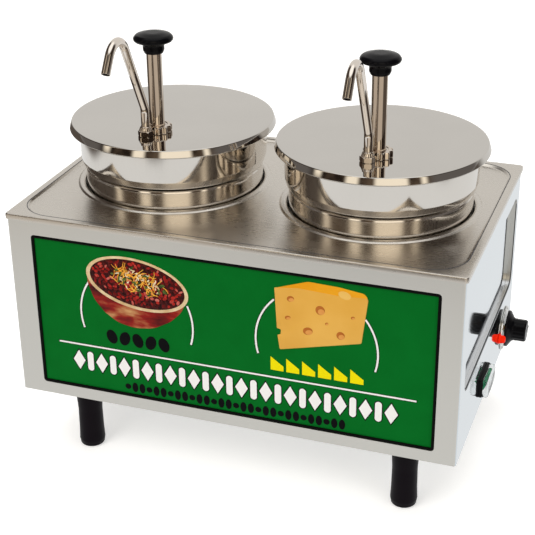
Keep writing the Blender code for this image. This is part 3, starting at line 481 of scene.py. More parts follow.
def make_materials():
    return {
        "case": case_steel(),
        "deck": steel("deck_sheet", (0.71, 0.67, 0.615), 0.28, (0.12, 1, 1), 420, 0.10, 0.030, 9),
        "lid": steel("lid_sheet", (0.66, 0.635, 0.60), 0.055, (1, 1, 1), 500, 0.03, 0.012, 10),
        "pot": steel("pot_sheet", (0.74, 0.70, 0.65), 0.07, (1, 1, 0.05), 400, 0.05, 0.02, 12),
        "pump": steel("pump_tube", (0.70, 0.62, 0.54), 0.06, (1, 1, 0.04), 500, 0.04, 0.02, 30),
        "spout": steel("spout_tube", (0.82, 0.75, 0.68), 0.05, (1, 1, 0.2), 500, 0.04, 0.02, 30),
        "inner": steel("mill_sheet", (0.50, 0.50, 0.48), 0.38, (1, 1, 0.1), 600, 0.16, 0.12, 25),
        "dial": steel("dial_sheet", (0.74, 0.73, 0.70), 0.22, (0.05, 1, 1), 900, 0.10, 0.08, 40),
        "copper": steel("copper_tube", (0.72, 0.36, 0.20), 0.30, (1, 1, 1), 500, 0.12, 0.08, 30),
        "brass": steel("brass_rod", (0.72, 0.55, 0.25), 0.28, (0.05, 1, 1), 600, 0.12, 0.08, 40),
        "knob": moulded("phenolic", (0.002, 0.002, 0.003), 0.18, 2600, 0.02, 0.03, specular=0.08),
        "leg": moulded("leg_plastic", (0.003, 0.001, 0.003), 0.42, 1500, 0.10, specular=0.08),
        "black": moulded("black_plastic", (0.003, 0.003, 0.004), 0.38, 1700, 0.08, 0.02, specular=0.10),
        "trim": moulded("trim_rubber", (0.002, 0.002, 0.002), 0.55, 1300, 0.10, specular=0.05),
        "rubber": moulded("black_rubber", (0.012, 0.012, 0.012), 0.62, 1300, 0.20, 0.0, 0.2),
        # painted shade: dark plastic for the thin strips that stand in for lines of shade at the deck's step
        # and the side recesses
        "dark_shade": moulded("painted_shade_strip", (0.050, 0.052, 0.060), 0.5, 1500, 0.08, specular=0.2),
        "white": moulded("white_plastic", (0.74, 0.73, 0.69), 0.45, 1200, 0.10),
        "glass": clear("lamp_glass", (0.93, 0.95, 0.93), 0.25, 0.35, 0.15),
        "boot": clear("boot_film", (0.97, 0.98, 0.98), 0.0, 1.0, ior=1.12),
        "red": clear("red_lens", (0.86, 0.020, 0.004), 0.14, 0.0, 0.30, specular=0.05),
        "green": clear("green_lens", (0.004, 0.20, 0.085), 0.22, 0.05, 0.06),
        "sign": printed("sign_print", (0.0008, 0.115, 0.012), (0.0020, 0.175, 0.022)),
        "white_ink": printed("white_ink", (0.88, 0.88, 0.88), (0.98, 0.98, 0.98)),
        # painted light: the label ink glows a little, though it is no lamp, to keep it bright white
        "label": printed("label_ink_with_painted_glow", (0.90, 0.90, 0.90), (0.98, 0.98, 0.98), 0.4),
        "black_ink": printed("black_ink", (0.002, 0.002, 0.003), (0.008, 0.008, 0.009)),
        "yellow_ink": printed("yellow_ink", (0.86, 0.72, 0.002), (0.98, 0.86, 0.006)),
        "bowl_side": painted("bowl_glaze", 26, [
            (0.36, (0.05, 0.004, 0.004)), (0.52, (0.28, 0.010, 0.007)), (0.60, (0.40, 0.10, 0.04)),
            (0.70, (0.62, 0.34, 0.14))], (0.9, 1, 2.6), 5.0),
        "bowl_rim": painted("rim_glaze", 60, [(0.3, (0.62, 0.40, 0.18)), (0.6, (0.82, 0.66, 0.42))]),
        "stew": painted("stew_sauce", 300, [(0.35, (0.010, 0.002, 0.002)), (0.70, (0.10, 0.008, 0.006))]),
        "beans": painted("stew_bean", 500, [
            (0.05, (0.006, 0.001, 0.002)), (0.36, (0.050, 0.003, 0.003)), (0.60, (0.24, 0.007, 0.006)),
            (0.84, (0.46, 0.022, 0.014)), (1.0, (0.66, 0.22, 0.18))], island=True, rough=0.28),
        "shred": painted("cheese_shred", 300, [(0.1, (0.75, 0.26, 0.02)), (0.8, (0.95, 0.50, 0.06))],
                         island=True),
        "pale": painted("pale_shred", 300, [(0.1, (0.62, 0.45, 0.22)), (0.8, (0.86, 0.76, 0.52))],
                        island=True),
        "herb": painted("herb", 300, [(0.1, (0.02, 0.05, 0.012)), (0.8, (0.10, 0.15, 0.03))], island=True),
        "cheese": painted("cheese_face", 18, [(0.2, (0.74, 0.38, 0.055)), (0.8, (0.86, 0.50, 0.11))]),
        "cheese_top": painted("cheese_rind", 20, [(0.2, (0.80, 0.31, 0.004)), (0.8, (0.92, 0.44, 0.02))]),
        "hollow": painted("cheese_hollow", 60, [(0.2, (0.42, 0.11, 0.015)), (0.8, (0.55, 0.18, 0.03))]),
        "hollow_lip": painted("cheese_hollow_lip", 60, [(0.2, (0.70, 0.28, 0.06)),
                                                        (0.8, (0.80, 0.38, 0.10))]),
        "dent": painted("cheese_dent", 40, [(0.2, (0.84, 0.50, 0.10)), (0.8, (0.90, 0.58, 0.18))]),
    }


def both(*stems):
    """The left and the right name of each stem."""
    return [f"{stem}_{side}" for stem in stems for side in SIDES]


CAD_FINISH = {
    "inner": ["base_panel", "ballast", *both("sign_bracket", "heater", "inlet_ball"),
              *(f"leg_bolt_{corner}" for corner in CORNERS)],
    "case": ["casing", "back_panel"],
    "sign": ["sign_panel"],
    "white": ["lamp_reflector", "terminal_block", "thermostat_body", *both("lamp_holder", "piston")],
    "glass": ["lamp_tube"],
    "copper": ["probe_tube"],
    "brass": ["thermostat_shaft"],
    "rubber": ["power_cord", "strain_relief", "plug"],
}
SMOOTHED = ["power_cord", "probe_tube", *both("inlet_ball", "heater")]
EDGED = ["casing", "back_panel", "base_panel", "ballast", "terminal_block", "thermostat_body",
         "strain_relief", "plug", *both("sign_bracket", "lamp_holder")]


def dress_cad_nodes():
    """Finish the CAD nodes that stay: own material, welded seams, softened edges."""
    for key, names in CAD_FINISH.items():
        for name in names:
            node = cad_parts[name]
            node.data.materials.clear()
            node.data.materials.append(MAT[key])
            weld = node.modifiers.new("weld", "WELD")
            weld.merge_threshold = 0.01 * MM
            if name in SMOOTHED:
                smoothed = node.modifiers.new("round", "SUBSURF")
                smoothed.levels = smoothed.render_levels = 2
                node.data.shade_smooth()
            if name in EDGED:
                soften_edges(node)


def soften_edges(node):
    """Flat faces as one face each, and a small round on the edges between them."""
    flat = node.modifiers.new("flat", "DECIMATE")
    flat.decimate_type = "DISSOLVE"
    flat.angle_limit = math.radians(1)
    soft = node.modifiers.new("edge", "BEVEL")
    soft.width = 0.4 * MM
    soft.segments = 2
    soft.limit_method = "ANGLE"
    soft.angle_limit = math.radians(50)
    node.data.shade_smooth()
    node.modifiers.new("weighted", "WEIGHTED_NORMAL").weight = 100


# ---- case ----
def make_deck():
    """Deck sheet with its turned-down lip, flat border and sunken floor, pierced for the pots."""
    lip = (DECK_Z - DECK[0].z) / MM
    corner = 4.0
    levels = [(0.0, -lip, corner), (0.0, -1.4, corner), (0.12, -0.9, corner), (0.45, -0.35, corner),
              (0.9, -0.06, corner), (1.5, 0.0, corner), (BORDER - 0.5, 0.0, STEP_R), (BORDER, -0.04, STEP_R),
              (BORDER + 1.0, -0.35, STEP_R - 0.5), (BORDER + 2.6, 0.5 - SUNK, STEP_R - 1),
              (BORDER + 3.6, 0.1 - SUNK, STEP_R - 1.5), (BORDER + 4.6, -SUNK, STEP_R - 2),
              (BORDER + 7.0, -SUNK, STEP_R - 3)]
    bm = loft_mesh(rect_rings(DECK[1].x, DECK[1].y, levels, 16))
    deck = piece("deck_sheet", bm, "deck", nodes=("deck_plate",), at=(0, 0, DECK_Z), sharp=60)
    skin = deck.modifiers.new("sheet", "SOLIDIFY")
    skin.thickness = 1.4 * MM
    skin.offset = -1
    bead = [(109.7, -3.2, 0), (109.7, 1.3, 1.3), (112.4, 2.5, 1.6), (116.4, 1.7, 1.8), (118.4, 0.03, 0.8),
            (120.2, 0.02, 0), (120.2, -1.6, 0)]
    for side in SIDES:
        at = spot(f"well_{side}")[2]
        cut(deck, rod_mesh(113.5, FLOOR_Z - 9 * MM, FLOOR_Z + 9 * MM, at, 160))
        turned(f"deck_bead_{side}", bead, "deck", "case", (), (at.x, at.y, FLOOR_Z), 160, True, sharp=60)


def make_step_shade_line():
    """Painted shade: a thin dark strip at the top of the step round the sunken floor, where the step shows a
    dark line.
    """
    half_x, half_y, width = DECK[1].x, DECK[1].y, 0.9
    outer, inner = [rounded_rect(half_x - inset * MM, half_y - inset * MM, (STEP_R + BORDER - inset) * MM, 16)
                    for inset in (BORDER, BORDER + width)]
    piece("deck_step_shade", plate_mesh(outer, 0.6 * MM, holes=[inner]), "dark_shade", at=(0, 0, DECK_Z - 0.55 * MM))


def make_recess_shade_lines():
    """Painted shade: a thin dark strip just inside the lip of each side's pressed-in field, where the recess
    shows a dark line.
    """
    middle = Vector((0, 4 * MM, DECK_Z - 93 * MM))
    outer, inner = [rounded_rect((61 - inset) * MM, (146 - inset) * MM, corner * MM, 8)
                    for inset, corner in ((0.05, 16), (0.5, 15.55))]
    for side, way, turn in (("left", -1, TO_SIDE.inverted()), ("right", 1, TO_SIDE)):
        at = middle + Vector((way * (FACE - 1.4 * MM), 0, 0))
        piece(f"recess_lip_shade_{side}", plate_mesh(outer, 1.1 * MM, holes=[inner]), "dark_shade", at=at, turn=turn)


def make_back_screws():
    """Low domed screw heads with crossed recesses along the back panel's edges."""
    low, high, _ = spot("back_panel")
    heads, slots, crosses = bmesh.new(), bmesh.new(), bmesh.new()
    dome = fillet([(0, 1.3, 0), (2.0, 1.2, 2), (3.4, 0.3, 0.4), (3.4, 0, 0), (0, 0, 0)])
    for x in (-0.94, 0, 0.94):
        for z in (0.08, 0.92):
            place = Matrix.Translation((high.x * x, high.y, low.z + (high.z - low.z) * z)) @ TO_BACK
            slot = box_mesh((-2.0, -0.35, 0.7), (2.0, 0.35, 2), 0.1)
            cross = box_mesh((-0.35, -2.0, 0.7), (0.35, 2.0, 2), 0.1)
            for target, bm in ((heads, lathe_mesh(dome, 32)), (slots, slot), (crosses, cross)):
                bmesh.ops.transform(bm, matrix=place, verts=bm.verts)
                add_mesh(target, bm)
    screws = piece("back_panel_screws", heads, "inner")
    cut(screws, slots)
    cut(screws, crosses)


def make_leg(corner):
    tall, foot = stance(f"leg_{corner}")
    profile = [(4.2, tall, 0.2), (17.5, tall, 0.8), (18.4, tall - 2.4, 0.8), (18.2, 82, 2), (16.2, 72, 14),
               (14.9, 50, 60), (15.3, 22, 40), (16.0, 8, 5), (14.8, 1.2, 1.6), (12, 0, 0.6), (3, 0, 0.4),
               (3, 2, 0.3), (0, 2, 0)]
    turned(f"leg_tube_{corner}", profile, "leg", "case", (f"leg_{corner}",), foot, 72, steps=8)


# ---- wells, pots and lids ----
def make_well(side):
    depth, foot = stance(f"well_{side}")
    profile = [(0, 1.2, 0), (109.2, 1.2, 10), (109.2, depth, 0.8), (116.2, depth, 0.3),
               (116.2, depth - 1.2, 0.3), (110.4, depth - 1.2, 1), (110.4, 0, 11), (0, 0, 0)]
    turned(f"well_shell_{side}", profile, "inner", "case", (f"well_{side}",), foot, 120)


def make_pot(side):
    rim, foot = stance(f"pot_{side}")
    deck = (DECK_Z - foot.z) / MM
    outer = [(118, rim, 0.6), (118.1, rim - 1.5, 0.8), (113.8, rim - 5.5, 3), (112.5, rim - 10, 6),
             (112.5, deck + 32.5, 5), (110.7, deck + 25.0, 6), (106.9, deck + 20.0, 1.2),
             (107.7, deck + 17.8, 1.4), (107.5, 0, 12), (0, 0, 0)]
    inner = [(0, 1.2, 0), (105.7, 1.2, 11), (105.7, deck + 21, 4), (109.5, deck + 26, 4),
             (111.3, deck + 33.5, 4), (111.3, rim - 7, 5), (115.5, rim, 0.6)]
    turned(f"pot_shell_{side}", inner + outer, "pot", f"pot_{side}_body", (f"pot_{side}",), foot, 160)


def make_lid(side):
    """Flat lid with a tight shoulder, a coned flange and a curled foot, pierced for the pump."""
    low, high, at = spot(f"lid_{side}")
    r = (high.x - low.x) / 2 / MM
    drop = (high.z - low.z) / MM
    profile = [(0, 0, 0), (r - 14, 0, 0), (r - 2.6, 0, 1.5), (r, 1.0 - drop, 0.9), (r - 0.7, -drop, 0.4),
               (r - 1.9, -drop, 0.4), (r - 3.6, -1.2, 1.0), (r - 14, -1.2, 0), (0, -1.2, 0)]
    lid = turned(f"lid_sheet_{side}", profile, "lid", f"lid_{side}_body", (f"lid_{side}",),
                 (at.x, at.y, high.z), 192, steps=10)
    for radius, node in ((11.5, f"plunger_tube_{side}"), (5.6, f"spout_nut_{side}")):
        cut(lid, rod_mesh(radius, high.z - 4 * MM, high.z + 4 * MM, spot(node)[2]))


# ---- pumps ----
def make_knob(side):
    top, foot = stance(f"pump_knob_{side}")
    profile = [(0, top, 0), (10, top, 26), (20.6, top - 2.7, 9), (23.2, top - 6.8, 3.2),
               (21.8, top - 9.8, 2.8), (13.8, top - 12.5, 3), (12.3, top - 15.2, 2), (12.2, 3.6, 1.4),
               (10.5, 0, 0.9), (9.1, 0, 0.2), (9.1, 10.2, 0.3), (0, 10.2, 0)]
    turned(f"knob_{side}", profile, "knob", f"plunger_{side}", (f"pump_knob_{side}",), foot, steps=9,
           sharp=50)


def make_plunger_tube(side):
    top, foot = stance(f"plunger_tube_{side}")
    profile = [(7.25, 0, 0.3), (8.75, 0, 0.4), (8.75, top, 0.4), (7.25, top, 0.3)]
    turned(f"plunger_{side}_tube", profile, "pump", f"plunger_{side}", (f"plunger_tube_{side}",), foot,
           closed=True)


def make_spring(side):
    """Return spring inside the pump, riding with the lid."""
    low, high, _ = spot(f"return_spring_{side}")
    at = spot(f"plunger_tube_{side}")[2]
    coil, gauge, coils, per_turn = 7.2 * MM, 0.9 * MM, 10, 24
    tall = high.z - low.z - 2 * gauge
    points = []
    for i in range(coils * per_turn + 1):
        a = 2 * math.pi * i / per_turn
        points.append(Vector((coil * math.cos(a), coil * math.sin(a), gauge + tall * i / (coils * per_turn))))
    bm = tube_mesh(points, gauge, 0.5 * MM, 10, Vector((0, 0, 1)))
    spring = piece(f"spring_{side}", bm, "inner", f"lid_{side}_body", (f"return_spring_{side}",),
                   at=(at.x, at.y, low.z), sharp=60)
    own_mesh(spring)


def make_collar(side):
    """Scalloped lock collar with softened lobes, cleared for the spout's nut."""
    low, high, _ = spot(f"lock_collar_{side}")
    at = spot(f"plunger_tube_{side}")[2]
    tall = (high.z - low.z) / MM
    profile = [(11.3, 0, 0.2), (15.6, 0, 0.5), (16.2, 0.9, 0.5), (16.2, tall - 1.3, 0.7), (15.2, tall, 0.8),
               (12.2, tall, 0.6), (11.4, tall - 0.8, 0.4), (9.2, tall - 0.8, 0.3), (9.2, 4.3, 0.2),
               (11.3, 4.3, 0.2)]

    def lobes(r, _, a):
        return r + (1.1 * MM * math.cos(12 * a) if r > 14.5 * MM else 0)

    collar = turned(f"collar_{side}", profile, "pump", f"lid_{side}_body", (f"lock_collar_{side}",),
                    (at.x, at.y, low.z), 192, True, lobes, sharp=40)
    cut(collar, rod_mesh(10.1, low.z - 5 * MM, high.z + 5 * MM, spot(f"spout_nut_{side}")[2], 96))


def make_nut(side):
    """Coupling nut: chamfered hexagon, coned shoulder and a swaged ring round the tube."""
    low, _, at = spot(f"spout_nut_{side}")
    pump = spot(f"plunger_tube_{side}")[2]
    heading = math.atan2(at.y - pump.y, at.x - pump.x)
    flat = 8.2 * MM
    profile = [(5.4, 0, 0.1), (8.7, 0, 0.1), (9.5, 0.7, 0.1), (9.5, 5.5, 0.1), (8.5, 6.2, 0.1),
               (7.9, 6.3, 0.3), (7.8, 7.3, 0.8), (6.7, 9.9, 0.5), (6.5, 10.3, 0.2), (6.5, 11.1, 0.3),
               (5.9, 11.6, 0.3), (5.4, 11.6, 0.1)]

    def hexagon(r, z, a):
        if 6.25 * MM < z < 10.2 * MM and r > 6 * MM:
            return r - 0.35 * MM * (0.5 - 0.5 * math.cos(12 * a))
        if r < 8.3 * MM or z > 6.25 * MM:
            return r
        swing = (a - heading) % (math.pi / 3) - math.pi / 6
        return min(r, flat / math.cos(swing))

    turned(f"nut_{side}", profile, "pump", f"lid_{side}_body", (f"spout_nut_{side}",), (at.x, at.y, low.z),
           96, True, hexagon, 3, sharp=25)


def spout_line(start_z):
    """Centre line of a discharge tube from its foot, relative to the foot's axis."""
    bend, lean, rise, neck, tail = 16 * MM, math.radians(29.2), 92 * MM, 24.3 * MM, 20 * MM
    foot = Vector((0, 0, DECK_Z + 104 * MM))
    points = [Vector((0, 0, start_z)), Vector((0, 0, (start_z + foot.z) / 2))]
    for i in range(13):
        a = lean * i / 12
        points.append(foot + Vector((0, -bend * (1 - math.cos(a)), bend * math.sin(a))))
    ahead = Vector((0, -math.sin(lean), math.cos(lean)))
    points.append(points[-1] + ahead * rise / 2)
    top = points[-1] + ahead * rise / 2
    hub = top + neck * Vector((0, -math.cos(lean), -math.sin(lean)))
    drop = math.radians(144)
    for i in range(41):
        a = lean + (drop - lean) * i / 40
        points.append(hub + neck * Vector((0, math.cos(a), math.sin(a))))
    down = Vector((0, -math.sin(drop), math.cos(drop)))
    points += [points[-1] + down * tail / 2, points[-1] + down * tail]
    return points


def make_spout(side):
    low, _, _ = spot(f"discharge_tube_{side}")
    at = spot(f"spout_nut_{side}")[2]
    piece(f"spout_{side}", tube_mesh(spout_line(low.z), 5 * MM, 0.9 * MM), "spout", f"lid_{side}_body",
          (f"discharge_tube_{side}",), at=(at.x, at.y, 0), turn=Matrix.Rotation(math.radians(2), 4, "Z"))


def make_cylinder(side):
    """Pump cylinder that hangs under the lid, with its hanger plate and the spout's foot block."""
    low, high, _ = spot(f"pump_cylinder_{side}")
    at = spot(f"plunger_tube_{side}")[2]
    nut = spot(f"spout_nut_{side}")[2]
    tall = (high.z - low.z) / MM
    plate = (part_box(f"lid_{side}")[1].z - low.z) / MM - 1.5
    profile = [(3.2, 0, 0.3), (8, 0, 1.0), (11, 8, 1.5), (11, plate - 3, 0.6), (16, plate - 3, 0.8),
               (16, plate, 0.5), (11, plate, 0.4), (11, tall, 0.5), (9.3, tall, 0.4), (9.3, 22.7, 0.3),
               (6, 22.7, 0.3), (6, 12, 0.3), (3.2, 12, 0.3)]
    body = turned(f"cylinder_{side}", profile, "inner", f"lid_{side}_body", (f"pump_cylinder_{side}",),
                  (at.x, at.y, low.z), closed=True)
    spread = Vector((nut.x - at.x, nut.y - at.y))
    half, end = 7.6, spread.length / MM + 7.6
    outline = fillet([(10.2, -half, 0), (end, -half, half - 0.1), (end, half, half - 0.1), (10.2, half, 0)],
                     True, 10)
    turn = Matrix.Rotation(math.atan2(spread.y, spread.x), 4, "Z")
    block = piece(f"foot_block_{side}", plate_mesh(outline, 23 * MM, 0.8 * MM), "inner", f"lid_{side}_body",
                  at=(at.x, at.y, low.z + 11 * MM), turn=turn)
    cut(block, rod_mesh(5.4, low.z + 24 * MM, low.z + 50 * MM, nut))
    cut(body, rod_mesh(5.5, low.z + (plate - 8) * MM, low.z + (plate + 4) * MM, nut))


# ---- controls ----
def make_dial():
    """Dial plate with a rolled rim, graduations and a white label with a dark tick."""
    low, _, mid = spot("dial_plate")
    at = Vector((low.x, mid.y, mid.z))
    profile = [(5, 0, 0.1), (28.2, 0, 0.3), (28.3, 1.3, 0.5), (27.2, 1.4, 0.4), (26.7, 0.9, 0.3),
               (5, 0.9, 0.1)]
    turned("dial_face", profile, "dial", "case", ("dial_plate",), at, 120, True, turn=TO_SIDE)
    marks = bmesh.new()
    for i in range(21):
        start = 24.0 if i % 2 == 0 else 25.0
        mark = box_mesh((-0.25, start, 0.8), (0.25, 26.4, 1.02), 0.08)
        turn = Matrix.Rotation(math.radians(-150 + 15 * i), 4, "Z")
        bmesh.ops.transform(mark, matrix=turn, verts=mark.verts)
        add_mesh(marks, mark)
    add_mesh(marks, box_mesh((-10.9, -24.6, 1.2), (-9.1, -22.2, 1.8), 0.08))
    piece("dial_marks", marks, "black_ink", slot="black_plastic", at=at, turn=TO_SIDE)
    rim, chord = 27.9, -19.0
    outline = [(x, -math.sqrt(rim * rim - x * x)) for x in (-16.0 + 1.2 * i for i in range(11))]
    outline += [(outline[-1][0], chord), (outline[0][0], chord)]
    label = plate_mesh([(x * MM, y * MM) for x, y in outline], 0.8 * MM)
    # the label's ink carries a painted glow that keeps it bright
    piece("dial_label", label, "label", at=at + Vector((0.8 * MM, 0, 0)), turn=TO_SIDE)


def make_dial_knob():
    """Control knob: coned skirt, fluted grip and a raised pointer with a white line."""
    low, high, mid = spot("thermostat_knob")
    at = Vector((low.x, mid.y, mid.z))
    tall = (high.x - low.x) / MM
    profile = [(0, 15.8, 0), (3.3, 15.8, 0.2), (3.3, 0, 0.1), (9, 0, 0.3), (9, 2.0, 0.3), (23.4, 2.0, 0.4),
               (22.9, 4.8, 0.8), (15.4, 9.6, 1.2), (14.2, 11.8, 0.8), (14.0, tall - 1.8, 0.6),
               (12.8, tall, 1.0), (0, tall, 0)]

    def flutes(r, _, a):
        dip = 0.35 * MM * (0.5 - 0.5 * math.cos(16 * a)) if 13.5 * MM < r < 14.3 * MM else 0
        return r - dip

    turned("dial_knob", profile, "knob", "heat_dial", ("thermostat_knob",), at, 192, False, flutes, 5,
           turn=TO_SIDE, sharp=40)
    pointer = box_mesh((-1.3, 0, tall - 1.2), (1.3, 13.8, tall + 0.3), 0.5, 3)
    add_mesh(pointer, box_mesh((-1.3, 12.4, 9), (1.3, 14.6, tall - 0.6), 0.5, 3))
    piece("dial_pointer", pointer, "knob", "heat_dial", at=at, turn=TO_SIDE)
    line = box_mesh((-0.35, 14.4, 12), (0.35, 14.8, tall - 2.4), 0.12)
    piece("dial_pointer_line", line, "white_ink", "heat_dial", slot="white_plastic", at=at, turn=TO_SIDE)


def make_pilot():
    """Ribbed red lens in a low ring of the same plastic."""
    _, high, mid = spot("pilot_lamp")
    at = Vector((FACE, mid.y, mid.z))
    proud = (high.x - FACE) / MM
    lens = [(0, proud, 0), (3.2, proud - 0.1, 1.6), (4.8, proud - 1.9, 1.0), (5.2, 2.4, 0.4), (5.2, 0.3, 0.2),
            (4.8, 0.3, 0.1), (4.8, -17.5, 0.5), (0, -17.5, 0)]

    def ribs(r, z, a):
        return r - (0.45 * MM * (0.5 - 0.5 * math.cos(14 * a)) if z > 1 * MM and r > 3.6 * MM else 0)

    turned("pilot_lens", lens, "red", "case", ("pilot_lamp",), at, 144, False, ribs, turn=TO_SIDE, sharp=50)
    bezel = [(5.1, 0.3, 0.1), (6.4, 0.3, 0.3), (6.3, 1.6, 0.5), (5.4, 2.0, 0.2), (5.1, 1.6, 0.1)]
    turned("pilot_bezel", bezel, "red", "case", (), at, 72, True, turn=TO_SIDE)


def make_switch():
    """Rocker switch: stepped bezel with the switch body behind it, and the green rocker."""
    low, high, mid = spot("switch_body")
    proud = (high.x - FACE) / MM
    hole = rounded_rect(17.9 * MM, 8.5 * MM, 1 * MM, 4)
    levels = [(0.0, 0.3, 2.5), (0.0, 2.4, 2.5), (0.3, 3.4, 2.4), (0.9, proud, 2.0)]
    rings = rect_rings((high.y - low.y) / 2, (high.z - low.z) / 2, levels, 4)
    rings += [[(x, y, z * MM) for x, y in hole] for z in (proud, -8)]
    at = Vector((FACE, mid.y, mid.z))
    piece("switch_bezel", loft_mesh(rings), "black", nodes=("switch_body",), at=at, turn=FLANGE_TURN,
          sharp=30)
    margin = Vector((0, 3, 3))
    back = box_mesh(low / MM + margin, Vector((FACE / MM - 8.3, high.y / MM, high.z / MM)) - margin, 1, 3)
    piece("switch_back", back, "black")
    rocker = [(-7.2, 2.8, 0.8), (-3.8, 5.2, 5), (0, 6.2, 6), (3.8, 7.0, 6), (7.0, 7.9, 1.0), (7.4, 0, 0.6),
              (4.5, -5, 1), (-4.5, -5, 1), (-7.4, -1.5, 0.6)]
    half = 17.2
    body = plate_mesh(fillet(rocker, True, 4), 2 * half * MM)
    bmesh.ops.translate(body, vec=(0, 0, -half * MM), verts=body.verts)
    piece("rocker_cap", body, "green", "rocker", ("switch_rocker",), at=at, turn=ROCKER_TURN)


def make_boot():
    """Clear splash boot over the switch, a thin moulded shell."""
    low, high, _ = spot("switch_boot")
    mid = spot("switch_body")[2]
    tall = (high.x - low.x) / MM
    levels = [(0.0, 0, 2.2), (0.0, tall - 3, 2.2), (0.5, tall - 1.2, 2.4), (1.8, tall - 0.2, 2.6),
              (3.4, tall, 2.8)]
    bm = loft_mesh(rect_rings((high.y - low.y) / 2, (high.z - low.z) / 2, levels, 5))
    boot = piece("splash_boot", bm, "boot", nodes=("switch_boot",), at=(low.x, mid.y, mid.z),
                 turn=FLANGE_TURN, sharp=60)
    skin = boot.modifiers.new("wall", "SOLIDIFY")
    skin.thickness = 0.5 * MM
    skin.offset = -1


# ---- the printed sign ----
INK_Y = SIGN[0].y + 1.75 * MM       # just proud of the sign panel, inside the window's depth
ART = Vector((SIGN_MID.x, 0, SIGN_MID.z - 112.5 * MM))     # origin of the sign's artwork
SHADE = 0.12                        # thickness of the dark print under the white, in mm


def ink(name, outlines, key, level=0.0, thick=0.25, bevel=0.0):
    """Raised print in mm on the sign: x to the right, y up from the case's base, level out from the panel."""
    bm = bmesh.new()
    for outline in outlines:
        add_mesh(bm, plate_mesh([(x * MM, z * MM) for x, z in outline], thick * MM, bevel * MM))
    piece(name, bm, key, at=(ART.x, INK_Y - level * MM, ART.z), turn=TO_FRONT)


def tilted(cx, cz, x, z, tilt):
    """A point (x, z) turned by tilt degrees about a centre."""
    t = math.radians(tilt)
    return cx + x * math.cos(t) - z * math.sin(t), cz + x * math.sin(t) + z * math.cos(t)


def ellipse(cx, cz, a, b, tilt=0.0, start=0, end=360, steps=72):
    points = []
    full = abs(end - start) >= 360
    for i in range(steps + (0 if full else 1)):
        angle = math.radians(start + (end - start) * i / steps)
        points.append(tilted(cx, cz, a * math.cos(angle), b * math.sin(angle), tilt))
    return points


def ribbon(cx, cz, radius, start, end, width):
    """Outline of a part of a ring."""
    far, near = radius + width / 2, radius - width / 2
    return ellipse(cx, cz, far, far, 0, start, end, 40) + ellipse(cx, cz, near, near, 0, end, start, 40)


def diamond(cx, cz, half_w, half_h):
    return [(cx - half_w, cz), (cx, cz - half_h), (cx + half_w, cz), (cx, cz + half_h)]


def pill(cx, cz, half_w, half_h):
    return [(cx + x, cz + z) for x, z in rounded_rect(half_w, half_h, half_w)]


def make_sign_trim():
    half_x, half_z = (SIGN[1].x - SIGN[0].x) / 2, (SIGN[1].z - SIGN[0].z) / 2
    levels = [(inset, z, max(0.6, 4 - inset)) for inset, z in
              ((0, 0), (0, 1.3), (0.3, 1.62), (0.8, 1.7), (2.4, 1.7), (2.9, 1.62), (3.2, 1.3), (3.2, 0))]
    piece("trim_ring", loft_mesh(rect_rings(half_x, half_z, levels, 8), True), "trim", nodes=("sign_trim",),
          at=(SIGN_MID.x, SIGN[1].y + 0.1 * MM, SIGN_MID.z), turn=TO_FRONT, sharp=50)


def make_sign_frame_print():
    """Arcs round the pictures, and the rule under them."""
    for tag, cx, cz, r, spans in (("left", -113.4, 119.2, 70.4, ((145, 197), (-17, 24))),
                                  ("right", 103.5, 122, 70.6, ((133.5, 196), (-15.5, 38)))):
        for i, (start, end) in enumerate(spans):
            shade = ribbon(cx, cz, r, start - 0.5, end + 0.5, 3.5)
            ink(f"arc_shade_{tag}_{i}", [shade], "black_ink", 0, SHADE)
            ink(f"arc_{tag}_{i}", [ribbon(cx, cz, r, start, end, 2.1)], "white_ink", 0.08)
    ink("rule_shade", [[(-216.7, 72.7), (219.5, 72.9), (219.5, 76.2), (-216.7, 76.0)]], "black_ink", 0, SHADE)
    ink("rule", [[(-216, 73.4), (218.8, 73.6), (218.8, 75.6), (-216, 75.4)]], "white_ink", 0.08)


def make_sign_ornament():
    """Plain ornament where wording would be: diamonds, bars and beads, in four rows."""
    shade, face = [], []
    for i in range(27):
        cx = -191.1 + 14.7 * i
        if i % 2:
            shade.append(pill(cx, 53.2, 5.0, 13.8))
            face.append(pill(cx, 53.2, 3.9, 12.7))
        else:
            shade.append(diamond(cx, 53.2, 9.3, 15.2))
            face.append(diamond(cx, 53.2, 7.7, 13.0))
    ink("title_shade", shade, "black_ink", 0, SHADE)
    ink("title_ornament", face, "white_ink", 0.08)
    beans = [ellipse(-146 + 16.5 * i, 91.8, 6.6, 9.2, -18 if i % 2 else 18, steps=36) for i in range(5)]
    ink("left_ornament", beans, "black_ink")
    wedges = []
    for cx in (58 + 18.6 * i for i in range(6)):
        wedges.append([(cx - 7.6, 84), (cx + 7.6, 84), (cx + 7.6, 90), (cx - 7.6, 101)])
    ink("right_ornament", wedges, "yellow_ink")
    dots = [ellipse(-129 + 9.1 * i, 27.8, 3.7, 6.4 if i % 3 else 3.6, 0, steps=20) for i in range(30)]
    ink("lower_ornament", dots, "black_ink")


